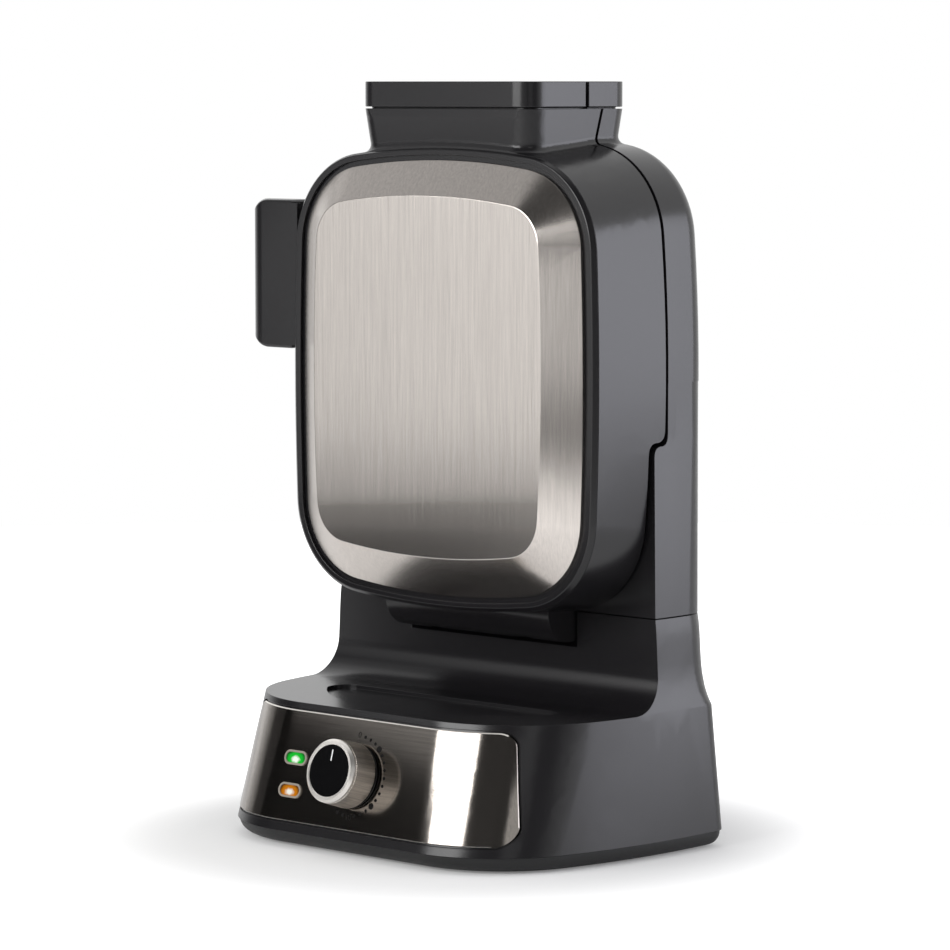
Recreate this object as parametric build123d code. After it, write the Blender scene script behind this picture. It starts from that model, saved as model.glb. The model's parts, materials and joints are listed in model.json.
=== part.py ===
from build123d import *
import math
import os

# Vertical waffle maker: a stand with a control foot, a fixed rear half and a lid that folds down to the front
# Millimetres, X to the right, Y to the rear, Z up, with the origin under the middle of the foot on the table

# Overall heights
OVERALL_HEIGHT = 370.0
FOOT_TOP_Z = 69.0
SKIRT_TOP_Z = 8.3
SEAM_Z = 113.8
SEAM_GAP = 0.6
PAN_BOTTOM_Z = 0.9
REAR_Y = 78.0

# Foot and neck outline
FOOT_FRONT_Y = -56.5
FOOT_LEAN_DEG = 15.6
FOOT_HALF_WIDTH = 115.6
FOOT_TOP_HALF_WIDTH = 110.0
FOOT_FRONT_RADIUS = 58.0
FOOT_TOP_FRONT_RADIUS = 62.0
FOOT_SIDE_RADIUS = 300.0
FOOT_WIDEST_Y = 54.0
FOOT_REAR_RADIUS = 10.0
FOOT_TOP_REAR_RADIUS = 12.0
NECK_FRONT_Y = 34.0
NECK_SWEEP_RADIUS = 18.0
NECK_LEVELS = (69.0, 77.0, 89.0, 113.5)
NECK_HALF_WIDTHS = (110.0, 108.1, 106.8, 105.2)
NECK_REAR_RADII = (12.0, 16.0, 18.5, 20.0)
SKIRT_LEVELS = (8.3, 3.8, 0.9)
SKIRT_FRONT_INSETS = (0.8, 3.0, 9.0)
SKIRT_SIDE_INSETS = (0.8, 2.0, 6.0)
SHELL_WALL = 2.6
PAN_WALL = 2.4
TRAY_LENGTH = 146.0
TRAY_FRONT_Y = -44.0
TRAY_REAR_Y = 4.5
TRAY_DEPTH = 1.9
TRAY_END_Y = -8.0
TRAY_CORNER = 8.5

# Lid and rear housing
BODY_CENTRE_Z = 226.0
LID_FRONT_Y = -3.0
LID_FRONT_SHAPE = (201.0, 224.3, 3.2, 9.8, 47.0, 225.9)
LID_REAR_SHAPE = (202.8, 234.0, 6.6, 11.4, 47.0, 226.8)
PARTING_Y = 45.9
PARTING_GAP = 1.8
LOWER_LID_REAR_Y = 33.5
COLUMN_FRONT_Y = 36.8
STEP_Z = 197.0
STEP_HALF = 3.0
STEP_GAP = 1.8
COLUMN_REAR_RADIUS = 13.5
HOUSING_BACK_ROUND = 13.0
BEZEL_DEPTH = 2.0
BEZEL_SHAPE = (195.8, 221.6, 3.2, 9.6, 45.0, 226.3)
BEZEL_INNER_SHAPE = (189.4, 216.6, 3.2, 9.4, 42.0, 226.3)
PANEL_SHEET = 1.0
STEEL_SHAPE = (183.6, 211.8, 3.2, 9.4, 39.5, 226.3)
STEEL_EDGE = 1.6
STEEL_BEVEL_DEPTH = 11.0
FLAT_SHAPE = (149.6, 175.2, 3.0, 6.4, 20.0, 227.6)

# Funnel
RING_WIDTH = 115.0
RING_FRONT_Y = -3.5
RING_REAR_Y = 71.5
RING_HEIGHT = 12.3
RING_RADIUS = 12.0
RING_SPLIT_Y = 37.9
RING_SPLIT_GAP = 2.0
RING_SEAM = 0.9
COLLAR_TAPER = 1.7
COLLAR_FOOT_Z = 341.0
COLLAR_FILLET = 4.0
COLLAR_LEAN = 3.0
FUNNEL_WALL = 3.0
SPIGOT_CLEARANCE = 0.3
MOUTH_WALL = 4.0
MOUTH_TAPER = 2.0
THROAT_CORNER = 4.0
THROAT_DROP = 8.0
THROAT_WIDTH = 84.0
THROAT_DEPTH = 15.0
THROAT_Z = 324.0
MATING_Y = 41.0
MATING_GAP = 0.6

# Baking plates
PLATE_WIDTH = 178.0
PLATE_HEIGHT = 186.0
PLATE_CORNER = 26.0
PLATE_THICKNESS = 14.0
CAVITY_WIDTH = 158.0
CAVITY_HEIGHT = 158.0
CAVITY_DEPTH = 8.5
CAVITY_CORNER = 12.0
STUD_PITCH = 25.0
STUD_COUNT = 6
STUD_SIZE = 16.0
STUD_TIP = 12.6
STUD_HEIGHT = 6.2
STUD_ROOT = 0.5
HEATER_RADIUS = 3.2
HEATER_WIDTH = 112.0
HEATER_HEIGHT = 118.0
HEATER_CORNER = 22.0
HEATER_CLEARANCE = 0.1
HEATER_END_X = 12.0
TERMINAL_PIN_RADIUS = 1.5
TERMINAL_PIN_INSET = 2.0
REFLECTOR_SHEET = 0.8
REFLECTOR_STANDOFF = 9.0
REFLECTOR_INSET = 8.0
REFLECTOR_LIP = 5.0
FRAME_SHEET = 1.6
FRAME_CLEARANCE = 0.6
COLLAR_ROOT_Z = BODY_CENTRE_Z + PLATE_HEIGHT / 2 + FRAME_CLEARANCE
PILLAR_RADIUS = 5.0
PILLAR_X = 60.0
PILLAR_Z = 68.0
SCREW_RADIUS = 2.0
SCREW_HEAD_RADIUS = 4.0
SCREW_HEAD = 2.4
SCREW_CLEARANCE = 0.25
PLATE_SCREW_BITE = 2.5
PLATE_HOLE_DEPTH = 3.0

# Lid hinge
HINGE_Y = 29.5
HINGE_Z = 114.5
KNUCKLE_RADIUS = 15.8
KNUCKLE_LENGTH = 108.0
KNUCKLE_END_GAP = 1.0
POCKET_RADIUS = 19.0
PIN_RADIUS = 3.0
PIN_INSET = 2.0
PIN_CHAMFER = 0.5
PIN_END_GAP = 0.4
BUSH_WALL = 1.5
BUSH_LENGTH = 14.0
RUNNING_CLEARANCE = 0.05
EAR_X = 30.0
EAR_WIDTH = 6.0
EAR_RADIUS = 6.0
EAR_SLOT_GAP = 0.7

# Latch on the left side
HANDLE_TOP_Z = 310.6
HANDLE_BOTTOM_Z = 235.6
HANDLE_FRONT_Y = 8.0
HANDLE_THICKNESS = 17.0
HANDLE_OUTER_X = -147.0
HANDLE_INNER_X = -113.5
HANDLE_FRONT_ROUND = 12.5
HANDLE_REAR_ROUND = 4.0
HANDLE_CORNER = 7.3
HANDLE_CORNER_MARGIN = 0.3
HANDLE_EDGE_ROUND = 1.6
HANDLE_FLANGE = 2.8
HANDLE_FLANGE_REACH = 4.0
LATCH_X = -107.2
LATCH_Y = 16.5
LATCH_KNUCKLE_RADIUS = 5.0
LATCH_KNUCKLE_TRIM = 9.0
LATCH_PIN_RADIUS = 1.75
BRACKET_THICKNESS = 4.0
BRACKET_GAP = 0.4
BRACKET_ROOT = 8.0
SPRING_SPACE = 6.0
SPRING_COIL_GAP = 0.25
SPRING_WIRE = 0.45
SPRING_RADIUS = 3.1
SPRING_TURNS = 4
CLAW_THICKNESS = 2.4
CLAW_PIN_GAP = 1.0
CLAW_OVERLAP = 3.0
CLAW_HEIGHT = 22.0
CLAW_REAR_Y = 59.0
CLAW_END_THICKNESS = 3.6
CLAW_END_LENGTH = 10.0
NOSE_RADIUS = 2.5
NOSE_PROUD = 0.9
NOSE_HEIGHT = 4.0
KEEPER_FRONT_Y = 49.0
KEEPER_REAR_Y = 60.0
KEEPER_PROUD = 2.4
KEEPER_DEPTH = 8.0
KEEPER_MARGIN = 2.0
KEEPER_GROOVE = 9.0
KEEPER_GROOVE_DEPTH = 1.4
CATCH_GAP = 0.4

# Control panel
PANEL_TOP_Z = 65.4
PANEL_BOTTOM_Z = 13.2
PANEL_TOP_HALF_WIDTH = 84.0
PANEL_BOTTOM_HALF_WIDTH = 92.8
PANEL_CORNER = 8.0
PANEL_PROUD = 0.3
PANEL_THICKNESS = 1.2
PANEL_GAP = 0.9
PANEL_SEAT_GAP = 0.1
KNOB_DOWN = 31.6
KNOB_RADIUS = 16.2
KNOB_FRONT_RADIUS = 15.5
KNOB_HEIGHT = 16.6
KNOB_LIFT = 1.8
KNOB_CORE_LIFT = 0.8
KNOB_CORE_INSET = 0.8
KNOB_WALL = 2.0
KNOB_CAP = 5.0
KNOB_CHAMFER = 1.4
KNOB_FACE_RADIUS = 12.6
KNOB_FACE_THICKNESS = 1.4
KNOB_FACE_RECESS = 0.3
POINTER_LENGTH = 5.4
POINTER_WIDTH = 0.7
POINTER_INSET = 2.4
POINTER_DEPTH = 0.5
SHAFT_RADIUS = 3.0
SHAFT_HOLE_CLEARANCE = 0.6
SHAFT_TAIL = 8.0
SHAFT_END_GAP = 1.0
LAMP_X = -40.0
LAMP_DOWN = (27.0, 43.0)
LAMP_LENGTH = 15.0
LAMP_HEIGHT = 7.2
LAMP_BEZEL_WALL = 1.0
LAMP_PROUD = 0.7
LAMP_DEPTH = 5.0
LENS_ROUND = 0.4

# Parts inside the foot
THERMOSTAT_SIZE = (34.0, 30.0, 18.0)
THERMOSTAT_GAP = 1.4
THERMOSTAT_CORNER = 3.0
BOARD_SIZE = (22.0, 30.0, 1.6)
BOARD_STANDOFF = 3.0
DIODE_RADIUS = 2.0
DIODE_HEIGHT = 2.0
TERMINAL_SIZE = (44.0, 16.0, 14.0)
TERMINAL_FROM_GLAND = 14.0
TERMINAL_FROM_REAR = 34.0
TERMINAL_PITCH = 12.0
TERMINAL_HOLE_RADIUS = 2.2
TERMINAL_HOLE_DEPTH = 4.0
GLAND_RADIUS = 8.0
GLAND_SHOULDER = 2.0
GLAND_FLANGE = 2.5
GLAND_REACH = 3.0
GLAND_BORE = 3.4
GLAND_X = 62.0
GLAND_Z = 24.0
BASE_SCREW_X = 74.0
BASE_SCREW_Y = (-20.0, 66.0)
BASE_SCREW_REACH = 14.0
BASE_SCREW_HOLE = 17.0
REAR_POST_TOP_Z = 32.0
POST_RIB = 3.0
PAN_PAD_RECESS = 0.8
PAN_SLOT_WIDTH = 4.0
PAN_SLOT_LENGTH = 46.0
PAN_SLOT_PITCH = 12.0
PAN_SLOT_COUNT = 8
PAN_SLOT_Y = 10.0
FOOT_PAD_RADIUS = 9.0
FOOT_PAD_X = 74.0
FOOT_PAD_Y = (-38.0, 44.0)
VENT_WIDTH = 22.0
VENT_HEIGHT = 2.6
VENT_PITCH_X = 32.0
VENT_LOW_Z = 150.0
VENT_PITCH_Z = 7.0
VENT_ROWS = 6
FUSE_RADIUS = 7.0
FUSE_HEIGHT = 6.0
FUSE_STRAP = (24.0, 1.0, 8.0)
WIRE_RADIUS = 1.3
WIRE_BEND = 5.0
WIRE_COUNT = 2
WIRE_RISE = 10.0
WIRE_SIDESTEP = 20.0
WIRE_LEVEL_Z = 36.0
WIRE_END_X = 10.0
WIRE_END_GAP = 8.0
WIRE_END_Y = (-10.0, -38.0)


def upright_plane(y):
    """A plane facing the front at depth y, drawn in X and Z."""
    return Plane(origin=(0, y, 0), x_dir=(1, 0, 0), z_dir=(0, -1, 0))


def cushion(width, height, side_bow, end_bow, corner):
    """A rounded rectangle whose four sides bow outwards."""
    x, z = width / 2 - side_bow, height / 2 - end_bow
    sides = [
        ThreePointArc((x, -z), (width / 2, 0), (x, z)),
        ThreePointArc((x, z), (0, height / 2), (-x, z)),
        ThreePointArc((-x, z), (-width / 2, 0), (-x, -z)),
        ThreePointArc((-x, -z), (0, -height / 2), (x, -z)),
    ]
    face = make_face(Curve() + sides)
    return fillet(face.vertices(), corner)


def shape_face(y, shape, inset=0.0):
    """A cushion given as width, height, side bow, end bow, corner and middle height, standing at depth y."""
    width, height, side_bow, end_bow, corner, middle_z = shape
    face = cushion(width - 2 * inset, height - 2 * inset, side_bow, end_bow, corner - inset)
    return upright_plane(y) * (Pos(0, middle_z) * face)


def body_shape_at(y):
    """The body's outline, which grows a little from the lid's front to the parting line."""
    share = (y - LID_FRONT_Y) / (PARTING_Y - LID_FRONT_Y)
    return [front + share * (rear - front) for front, rear in zip(LID_FRONT_SHAPE, LID_REAR_SHAPE)]


def body_loft(front_y, rear_y, inset=0.0):
    """The tapering body between two depths."""
    front = shape_face(front_y, body_shape_at(front_y), inset)
    rear = shape_face(rear_y, body_shape_at(rear_y), inset)
    return loft([front, rear], ruled=True)


def stand_outline(z, front_y, half_width, front_radius, rear_radius, inset=0.0):
    """The foot's plan: straight front, round front corners, bowed sides and a straight back."""
    half, front, rear = half_width - inset, front_y + inset, REAR_Y - inset
    bow = FOOT_SIDE_RADIUS - inset
    reach = FOOT_WIDEST_Y - front
    corner_x = half - bow + math.sqrt(bow**2 - reach**2)
    mid_y = FOOT_WIDEST_Y - reach / 2
    mid_x = half - bow + math.sqrt(bow**2 - (reach / 2) ** 2)
    edges = [
        Line((-corner_x, front), (corner_x, front)),
        ThreePointArc((corner_x, front), (mid_x, mid_y), (half, FOOT_WIDEST_Y)),
        Line((half, FOOT_WIDEST_Y), (half, rear)),
        Line((half, rear), (-half, rear)),
        Line((-half, rear), (-half, FOOT_WIDEST_Y)),
        ThreePointArc((-half, FOOT_WIDEST_Y), (-mid_x, mid_y), (-corner_x, front)),
    ]
    face = make_face(Curve() + edges)
    front_corners = [v for v in face.vertices() if v.Y < front + 0.01]
    face = fillet(front_corners, front_radius - inset)
    rear_corners = [v for v in face.vertices() if v.Y > rear - 0.01]
    face = fillet(rear_corners, max(rear_radius - inset, 1.0))
    return Pos(0, 0, z) * face


def foot_front_at(z):
    """Where the leaning front face is at a height."""
    return FOOT_FRONT_Y - (FOOT_TOP_Z - z) * math.tan(math.radians(FOOT_LEAN_DEG))


def foot_loft(inset=0.0, low=SKIRT_TOP_Z, high=FOOT_TOP_Z):
    """The leaning foot, inset all round."""
    bottom = stand_outline(
        low, foot_front_at(SKIRT_TOP_Z), FOOT_HALF_WIDTH, FOOT_FRONT_RADIUS, FOOT_REAR_RADIUS, inset
    )
    top = stand_outline(
        high, FOOT_FRONT_Y, FOOT_TOP_HALF_WIDTH, FOOT_TOP_FRONT_RADIUS, FOOT_TOP_REAR_RADIUS, inset
    )
    return loft([bottom, top])


def neck_loft(inset=0.0, high=SEAM_Z):
    """The neck above the foot's rear, with the concave sweep down to the foot's top."""
    levels = list(NECK_LEVELS[:-1]) + [high]
    sections = [
        stand_outline(z, FOOT_FRONT_Y, half, FOOT_TOP_FRONT_RADIUS, radius, inset)
        for z, half, radius in zip(levels, NECK_HALF_WIDTHS, NECK_REAR_RADII)
    ]
    block = loft(sections)
    front = NECK_FRONT_Y + inset
    sweep = NECK_SWEEP_RADIUS + inset
    floor = FOOT_TOP_Z - inset
    reach = front - foot_front_at(0) + 20
    tall = high + 20 - floor
    air = Pos(front - sweep - (reach - sweep) / 2, floor + tall / 2) * Rectangle(reach - sweep, tall)
    shaft = Pos(front - sweep / 2, floor + sweep + (tall - sweep) / 2) * Rectangle(sweep, tall - sweep)
    corner = Pos(front - sweep, floor + sweep) * Circle(sweep)
    square = Pos(front - sweep / 2, floor + sweep / 2) * Rectangle(sweep, sweep)
    profile = air + (square & corner) + shaft
    return block - extrude(Plane.YZ * profile, amount=FOOT_HALF_WIDTH + 20, both=True)


def x_cylinder(radius, length, y, z, x=0.0):
    """A cylinder lying along X."""
    return Pos(x, y, z) * Rot(0, 90, 0) * Cylinder(radius, length)


def y_cylinder(radius, front_y, rear_y, x, z):
    """A cylinder lying along Y between two depths."""
    return Pos(x, (front_y + rear_y) / 2, z) * Rot(90, 0, 0) * Cylinder(radius, rear_y - front_y)


def face_plane(out=0.0):
    """The leaning front face: X across, Y up the slope from the foot's top edge, Z outwards."""
    lean = math.radians(FOOT_LEAN_DEG)
    normal = Vector(0, -math.cos(lean), math.sin(lean))
    return Plane(origin=Vector(0, FOOT_FRONT_Y, FOOT_TOP_Z) + normal * out, x_dir=(1, 0, 0), z_dir=normal)


def parting_cutter(gap_side):
    """Everything behind the lid's rear edge (-1), or in front of the housing's front edge (+1)."""
    upper = PARTING_Y + gap_side * PARTING_GAP / 2
    lower = LOWER_LID_REAR_Y if gap_side < 0 else COLUMN_FRONT_Y
    seam_lower = LOWER_LID_REAR_Y if gap_side < 0 else NECK_FRONT_Y
    top_z = OVERALL_HEIGHT - RING_HEIGHT - RING_SEAM
    far = 200.0 if gap_side < 0 else -200.0
    step = STEP_Z - gap_side * STEP_GAP / 2
    low, high = step - STEP_HALF, step + STEP_HALF
    middle = (lower + upper) / 2
    line = [
        Line((seam_lower, SEAM_Z - 60), (seam_lower, SEAM_Z)),
        Line((seam_lower, SEAM_Z), (lower, low - STEP_HALF)),
        Bezier((lower, low - STEP_HALF), (lower, step), (middle, step)),
        Bezier((middle, step), (upper, step), (upper, high + STEP_HALF)),
        Line((upper, high + STEP_HALF), (upper, COLLAR_FOOT_Z)),
        Line((upper, COLLAR_FOOT_Z), (upper + COLLAR_LEAN, top_z)),
        Line((upper + COLLAR_LEAN, top_z), (upper + COLLAR_LEAN, OVERALL_HEIGHT + 40)),
        Line((upper + COLLAR_LEAN, OVERALL_HEIGHT + 40), (far, OVERALL_HEIGHT + 40)),
        Line((far, OVERALL_HEIGHT + 40), (far, SEAM_Z - 60)),
        Line((far, SEAM_Z - 60), (seam_lower, SEAM_Z - 60)),
    ]
    if gap_side < 0:
        line = [edge for edge in line if edge.length > 0.001]
    return extrude(Plane.YZ * make_face(Curve() + line), amount=FOOT_HALF_WIDTH + 40, both=True)


def funnel_outline(z, half_width, front_y, rear_y, radius):
    """A rounded rectangle round the funnel at a height."""
    middle = (front_y + rear_y) / 2
    return Pos(0, middle, z) * RectangleRounded(2 * half_width, rear_y - front_y, radius)


def collar_loft(inset=0.0):
    """The neck under the lip ring, narrower at its foot, carried down into the body."""
    half, top = RING_WIDTH / 2, OVERALL_HEIGHT - RING_HEIGHT - RING_SEAM
    slope = COLLAR_TAPER / (top - COLLAR_FOOT_Z)
    low = inset + slope * (top - COLLAR_ROOT_Z)
    radius = RING_RADIUS - inset
    upper = funnel_outline(top, half - inset, RING_FRONT_Y + inset, RING_REAR_Y - inset, radius)
    lower = funnel_outline(COLLAR_ROOT_Z, half - low, RING_FRONT_Y + low, RING_REAR_Y - low, radius)
    return loft([lower, upper])


def funnel_cavity(clearance=0.0):
    """The space that the batter runs down, from the mouth to the throat."""
    half, radius = RING_WIDTH / 2 - MOUTH_WALL, RING_RADIUS - MOUTH_WALL
    front, rear = RING_FRONT_Y + MOUTH_WALL, RING_REAR_Y - MOUTH_WALL
    top = funnel_outline(OVERALL_HEIGHT + 1, half, front, rear, radius)
    shoulder = funnel_outline(
        OVERALL_HEIGHT - RING_HEIGHT, half - MOUTH_TAPER, front + MOUTH_TAPER, rear - MOUTH_TAPER, radius
    )
    throat = funnel_outline(
        THROAT_Z - THROAT_DROP, THROAT_WIDTH / 2, MATING_Y - THROAT_DEPTH / 2, MATING_Y + THROAT_DEPTH / 2,
        THROAT_CORNER,
    )
    return loft([shoulder, top]) + loft([throat, shoulder])


def blend_collar(block):
    """Rounds the corner between the collar and the body under it."""
    half = RING_WIDTH / 2
    low, high = COLLAR_FOOT_Z - 8, COLLAR_FOOT_Z + 5
    edges = [
        edge
        for edge in block.edges()
        if low < edge.center().Z < high
        and abs(edge.center().X) < half
        and RING_FRONT_Y < edge.center().Y < RING_REAR_Y
    ]
    return fillet(edges, COLLAR_FILLET)


def make_lid_outer():
    """The lid's outside with its half of the collar."""
    block = blend_collar(body_loft(LID_FRONT_Y - 20, REAR_Y + 20) + collar_loft())
    front = Pos(0, LID_FRONT_Y - 100, BODY_CENTRE_Z) * Box(400, 200, 400)
    return block - front - parting_cutter(-1)


def make_lid_housing():
    hollow = body_loft(LID_FRONT_Y + SHELL_WALL, REAR_Y, SHELL_WALL) - collar_loft()
    shell = make_lid_outer() - hollow
    shell = shell - collar_loft(FUNNEL_WALL)
    shell = shell + (collar_floor() & mating_half(-1)) - parting_cutter(-1)
    shell = shell + x_cylinder(KNUCKLE_RADIUS, KNUCKLE_LENGTH, HINGE_Y, HINGE_Z)
    for x, z in pillar_places():
        boss_rear = plate_back_y(-1) - REFLECTOR_STANDOFF - REFLECTOR_SHEET
        shell = shell + y_cylinder(PILLAR_RADIUS, LID_FRONT_Y + 1, boss_rear, x, z)
        shell = shell - y_cylinder(SCREW_RADIUS + SCREW_CLEARANCE, LID_FRONT_Y - 1, boss_rear + 1, x, z)
        head_rear = LID_FRONT_Y + SCREW_HEAD + SCREW_CLEARANCE
        shell = shell - y_cylinder(SCREW_HEAD_RADIUS + SCREW_CLEARANCE, LID_FRONT_Y - 1, head_rear, x, z)
    return shell - pin_bore() - [knuckle_slot(x) for x in (-EAR_X, EAR_X)]


def pin_bore():
    """The bore for pin and bushes, open at the left and closed at the right."""
    left, right = -KNUCKLE_LENGTH / 2 - 1, KNUCKLE_LENGTH / 2 - PIN_INSET + PIN_END_GAP
    return x_cylinder(PIN_RADIUS + BUSH_WALL, right - left, HINGE_Y, HINGE_Z, (left + right) / 2)


def knuckle_slot(x):
    """The slot in the knuckle that a fixed ear reaches through, open to the rear and below."""
    near = EAR_RADIUS + EAR_SLOT_GAP
    far = KNUCKLE_RADIUS + 10
    width = EAR_WIDTH + 2 * EAR_SLOT_GAP
    return Pos(x, HINGE_Y + (far - near) / 2, HINGE_Z - (far - near) / 2) * Box(width, far + near, far + near)


def collar_floor():
    """The wall that closes the collar under the funnel, cut through by the throat."""
    block = collar_loft() & (Pos(0, MATING_Y, COLLAR_ROOT_Z + SHELL_WALL / 2) * Box(300, 300, SHELL_WALL))
    return block - funnel_cavity()


def split_room(side, split_y, low, high):
    """The room in front of a depth (-1) or behind it (+1), between two heights."""
    return Pos(0, split_y + side * 100, (low + high) / 2) * Box(300, 200, high - low)


def mating_half(side):
    """The room on one side of the plates' meeting plane."""
    return split_room(side, plate_face_y(side), SEAM_Z, OVERALL_HEIGHT)


def pillar_places():
    """Four screw pillars behind each baking plate."""
    return [(sx * PILLAR_X, BODY_CENTRE_Z + sz * PILLAR_Z) for sx in (-1, 1) for sz in (-1, 1)]


def plate_face_y(side):
    """The mating face of the front plate (-1) or the rear plate (+1)."""
    return MATING_Y + side * MATING_GAP / 2


def plate_back_y(side):
    return plate_face_y(side) + side * PLATE_THICKNESS


def make_lid_bezel():
    back = shape_face(LID_FRONT_Y, body_shape_at(LID_FRONT_Y))
    front = shape_face(LID_FRONT_Y - BEZEL_DEPTH, BEZEL_SHAPE)
    inner = shape_face(LID_FRONT_Y + 1, BEZEL_INNER_SHAPE)
    return loft([back, front], ruled=True) - extrude(inner, amount=BEZEL_DEPTH + 3)


def make_steel_front_panel():
    """A pressed sheet with a bevel all round and a flat middle."""
    edge_y = LID_FRONT_Y - STEEL_EDGE
    flat_y = edge_y - STEEL_BEVEL_DEPTH
    rim = extrude(shape_face(LID_FRONT_Y, STEEL_SHAPE), amount=STEEL_EDGE)
    bevel = loft([shape_face(edge_y, STEEL_SHAPE), shape_face(flat_y, FLAT_SHAPE)], ruled=True)
    inner_rim = extrude(shape_face(LID_FRONT_Y, STEEL_SHAPE, PANEL_SHEET), amount=STEEL_EDGE - PANEL_SHEET)
    inner_edge = shape_face(edge_y + PANEL_SHEET, STEEL_SHAPE, PANEL_SHEET)
    inner_flat = shape_face(flat_y + PANEL_SHEET, FLAT_SHAPE, PANEL_SHEET)
    return rim + bevel - inner_rim - loft([inner_edge, inner_flat], ruled=True)


def make_lip_ring(side):
    """Half of the lip ring with its half of the funnel, which plugs into the collar."""
    half, bottom = RING_WIDTH / 2, OVERALL_HEIGHT - RING_HEIGHT
    seam, wall = bottom - RING_SEAM, FUNNEL_WALL + SPIGOT_CLEARANCE
    floor = COLLAR_ROOT_Z + SHELL_WALL
    band = extrude(funnel_outline(bottom, half, RING_FRONT_Y, RING_REAR_Y, RING_RADIUS), amount=RING_HEIGHT)
    neck = extrude(
        funnel_outline(seam, half - wall, RING_FRONT_Y + wall, RING_REAR_Y - wall, RING_RADIUS - wall),
        amount=RING_SEAM,
    )
    band_split = RING_SPLIT_Y + side * RING_SPLIT_GAP / 2
    spigot_split = plate_face_y(side)
    neck_split = max(band_split, spigot_split) if side > 0 else min(band_split, spigot_split)
    ring = band & split_room(side, band_split, bottom, OVERALL_HEIGHT)
    ring = ring + (neck & split_room(side, neck_split, seam, bottom))
    ring = ring + (collar_loft(wall) & split_room(side, spigot_split, floor, seam))
    return ring - funnel_cavity()


def plate_outline(inset=0.0):
    return RectangleRounded(PLATE_WIDTH - 2 * inset, PLATE_HEIGHT - 2 * inset, PLATE_CORNER - inset)


def heater_path(y):
    """An open loop of heating tube, its two ends side by side under the plate's middle."""
    w, h, gap = HEATER_WIDTH / 2, HEATER_HEIGHT / 2, HEATER_END_X
    z = BODY_CENTRE_Z
    points = [(-gap, y, z - h), (-w, y, z - h), (-w, y, z + h), (w, y, z + h), (w, y, z - h), (gap, y, z - h)]
    return FilletPolyline(*points, radius=HEATER_CORNER)


def heater_tube(y, radius):
    path = heater_path(y)
    profile = Plane(path @ 0, z_dir=path % 0) * Circle(radius)
    return sweep(profile, path=path)


def heater_y(side):
    return plate_back_y(side)


def make_baking_plate(side):
    """A cast plate with a rim, a grid of tapered studs and a filling channel at its top."""
    face_y, back_y = plate_face_y(side), plate_back_y(side)
    place = Pos(0, 0, BODY_CENTRE_Z)
    plane = Plane(origin=(0, face_y, 0), x_dir=(1, 0, 0), z_dir=(0, -1, 0))
    slab = place * extrude(plane * plate_outline(), amount=-side * PLATE_THICKNESS)
    cavity = RectangleRounded(CAVITY_WIDTH, CAVITY_HEIGHT, CAVITY_CORNER)
    slab = slab - place * extrude(plane * cavity, amount=-side * CAVITY_DEPTH)
    channel_height = (PLATE_HEIGHT - CAVITY_HEIGHT) / 2 + CAVITY_CORNER + 1
    channel = Pos(0, PLATE_HEIGHT / 2 - channel_height / 2 + 1) * Rectangle(THROAT_WIDTH, channel_height)
    slab = slab - place * extrude(plane * channel, amount=-side * (THROAT_DEPTH - MATING_GAP) / 2)
    floor = Plane(origin=(0, face_y + side * CAVITY_DEPTH, 0), x_dir=(1, 0, 0), z_dir=(0, -1, 0))
    tip = Plane(
        origin=(0, face_y + side * (CAVITY_DEPTH - STUD_HEIGHT), 0), x_dir=(1, 0, 0), z_dir=(0, -1, 0)
    )
    root = Plane(
        origin=(0, face_y + side * (CAVITY_DEPTH + STUD_ROOT), 0), x_dir=(1, 0, 0), z_dir=(0, -1, 0)
    )
    stud = loft([floor * Rectangle(STUD_SIZE, STUD_SIZE), tip * Rectangle(STUD_TIP, STUD_TIP)])
    stud = stud + extrude(root * Rectangle(STUD_SIZE, STUD_SIZE), amount=side * STUD_ROOT)
    middle = (STUD_COUNT - 1) / 2
    studs = [
        Pos((i - middle) * STUD_PITCH, 0, BODY_CENTRE_Z + (j - middle) * STUD_PITCH) * stud
        for i in range(STUD_COUNT)
        for j in range(STUD_COUNT)
    ]
    slab = slab + studs
    for x, z in pillar_places():
        ends = sorted((back_y - side, back_y + side * REFLECTOR_STANDOFF))
        slab = slab + y_cylinder(PILLAR_RADIUS, *ends, x, z)
        hole = sorted((back_y - side * PLATE_HOLE_DEPTH, back_y + side * (REFLECTOR_STANDOFF + 1)))
        slab = slab - y_cylinder(SCREW_RADIUS, *hole, x, z)
    return slab - heater_tube(heater_y(side), HEATER_RADIUS + HEATER_CLEARANCE)


def make_heater(side):
    tube = heater_tube(heater_y(side), HEATER_RADIUS)
    ends = sorted((heater_y(side) + side, heater_y(side) + side * (REFLECTOR_STANDOFF - 1)))
    for x in (-HEATER_END_X - TERMINAL_PIN_INSET, HEATER_END_X + TERMINAL_PIN_INSET):
        tube = tube + y_cylinder(TERMINAL_PIN_RADIUS, *ends, x, BODY_CENTRE_Z - HEATER_HEIGHT / 2)
    return tube


def make_reflector(side):
    """A thin dished sheet that turns the heat back towards the plate."""
    near = plate_back_y(side) + side * REFLECTOR_STANDOFF
    plane = Plane(origin=(0, near, 0), x_dir=(1, 0, 0), z_dir=(0, -1, 0))
    place = Pos(0, 0, BODY_CENTRE_Z)
    rim = plate_outline(REFLECTOR_INSET) - plate_outline(REFLECTOR_INSET + REFLECTOR_SHEET)
    sheet = place * extrude(plane * plate_outline(REFLECTOR_INSET), amount=-side * REFLECTOR_SHEET)
    sheet = sheet + place * extrude(plane * rim, amount=side * REFLECTOR_LIP)
    for x, z in pillar_places():
        ends = sorted((near - side, near + side * (REFLECTOR_SHEET + 1)))
        sheet = sheet - y_cylinder(SCREW_RADIUS + SCREW_CLEARANCE, *ends, x, z)
    return sheet


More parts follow.
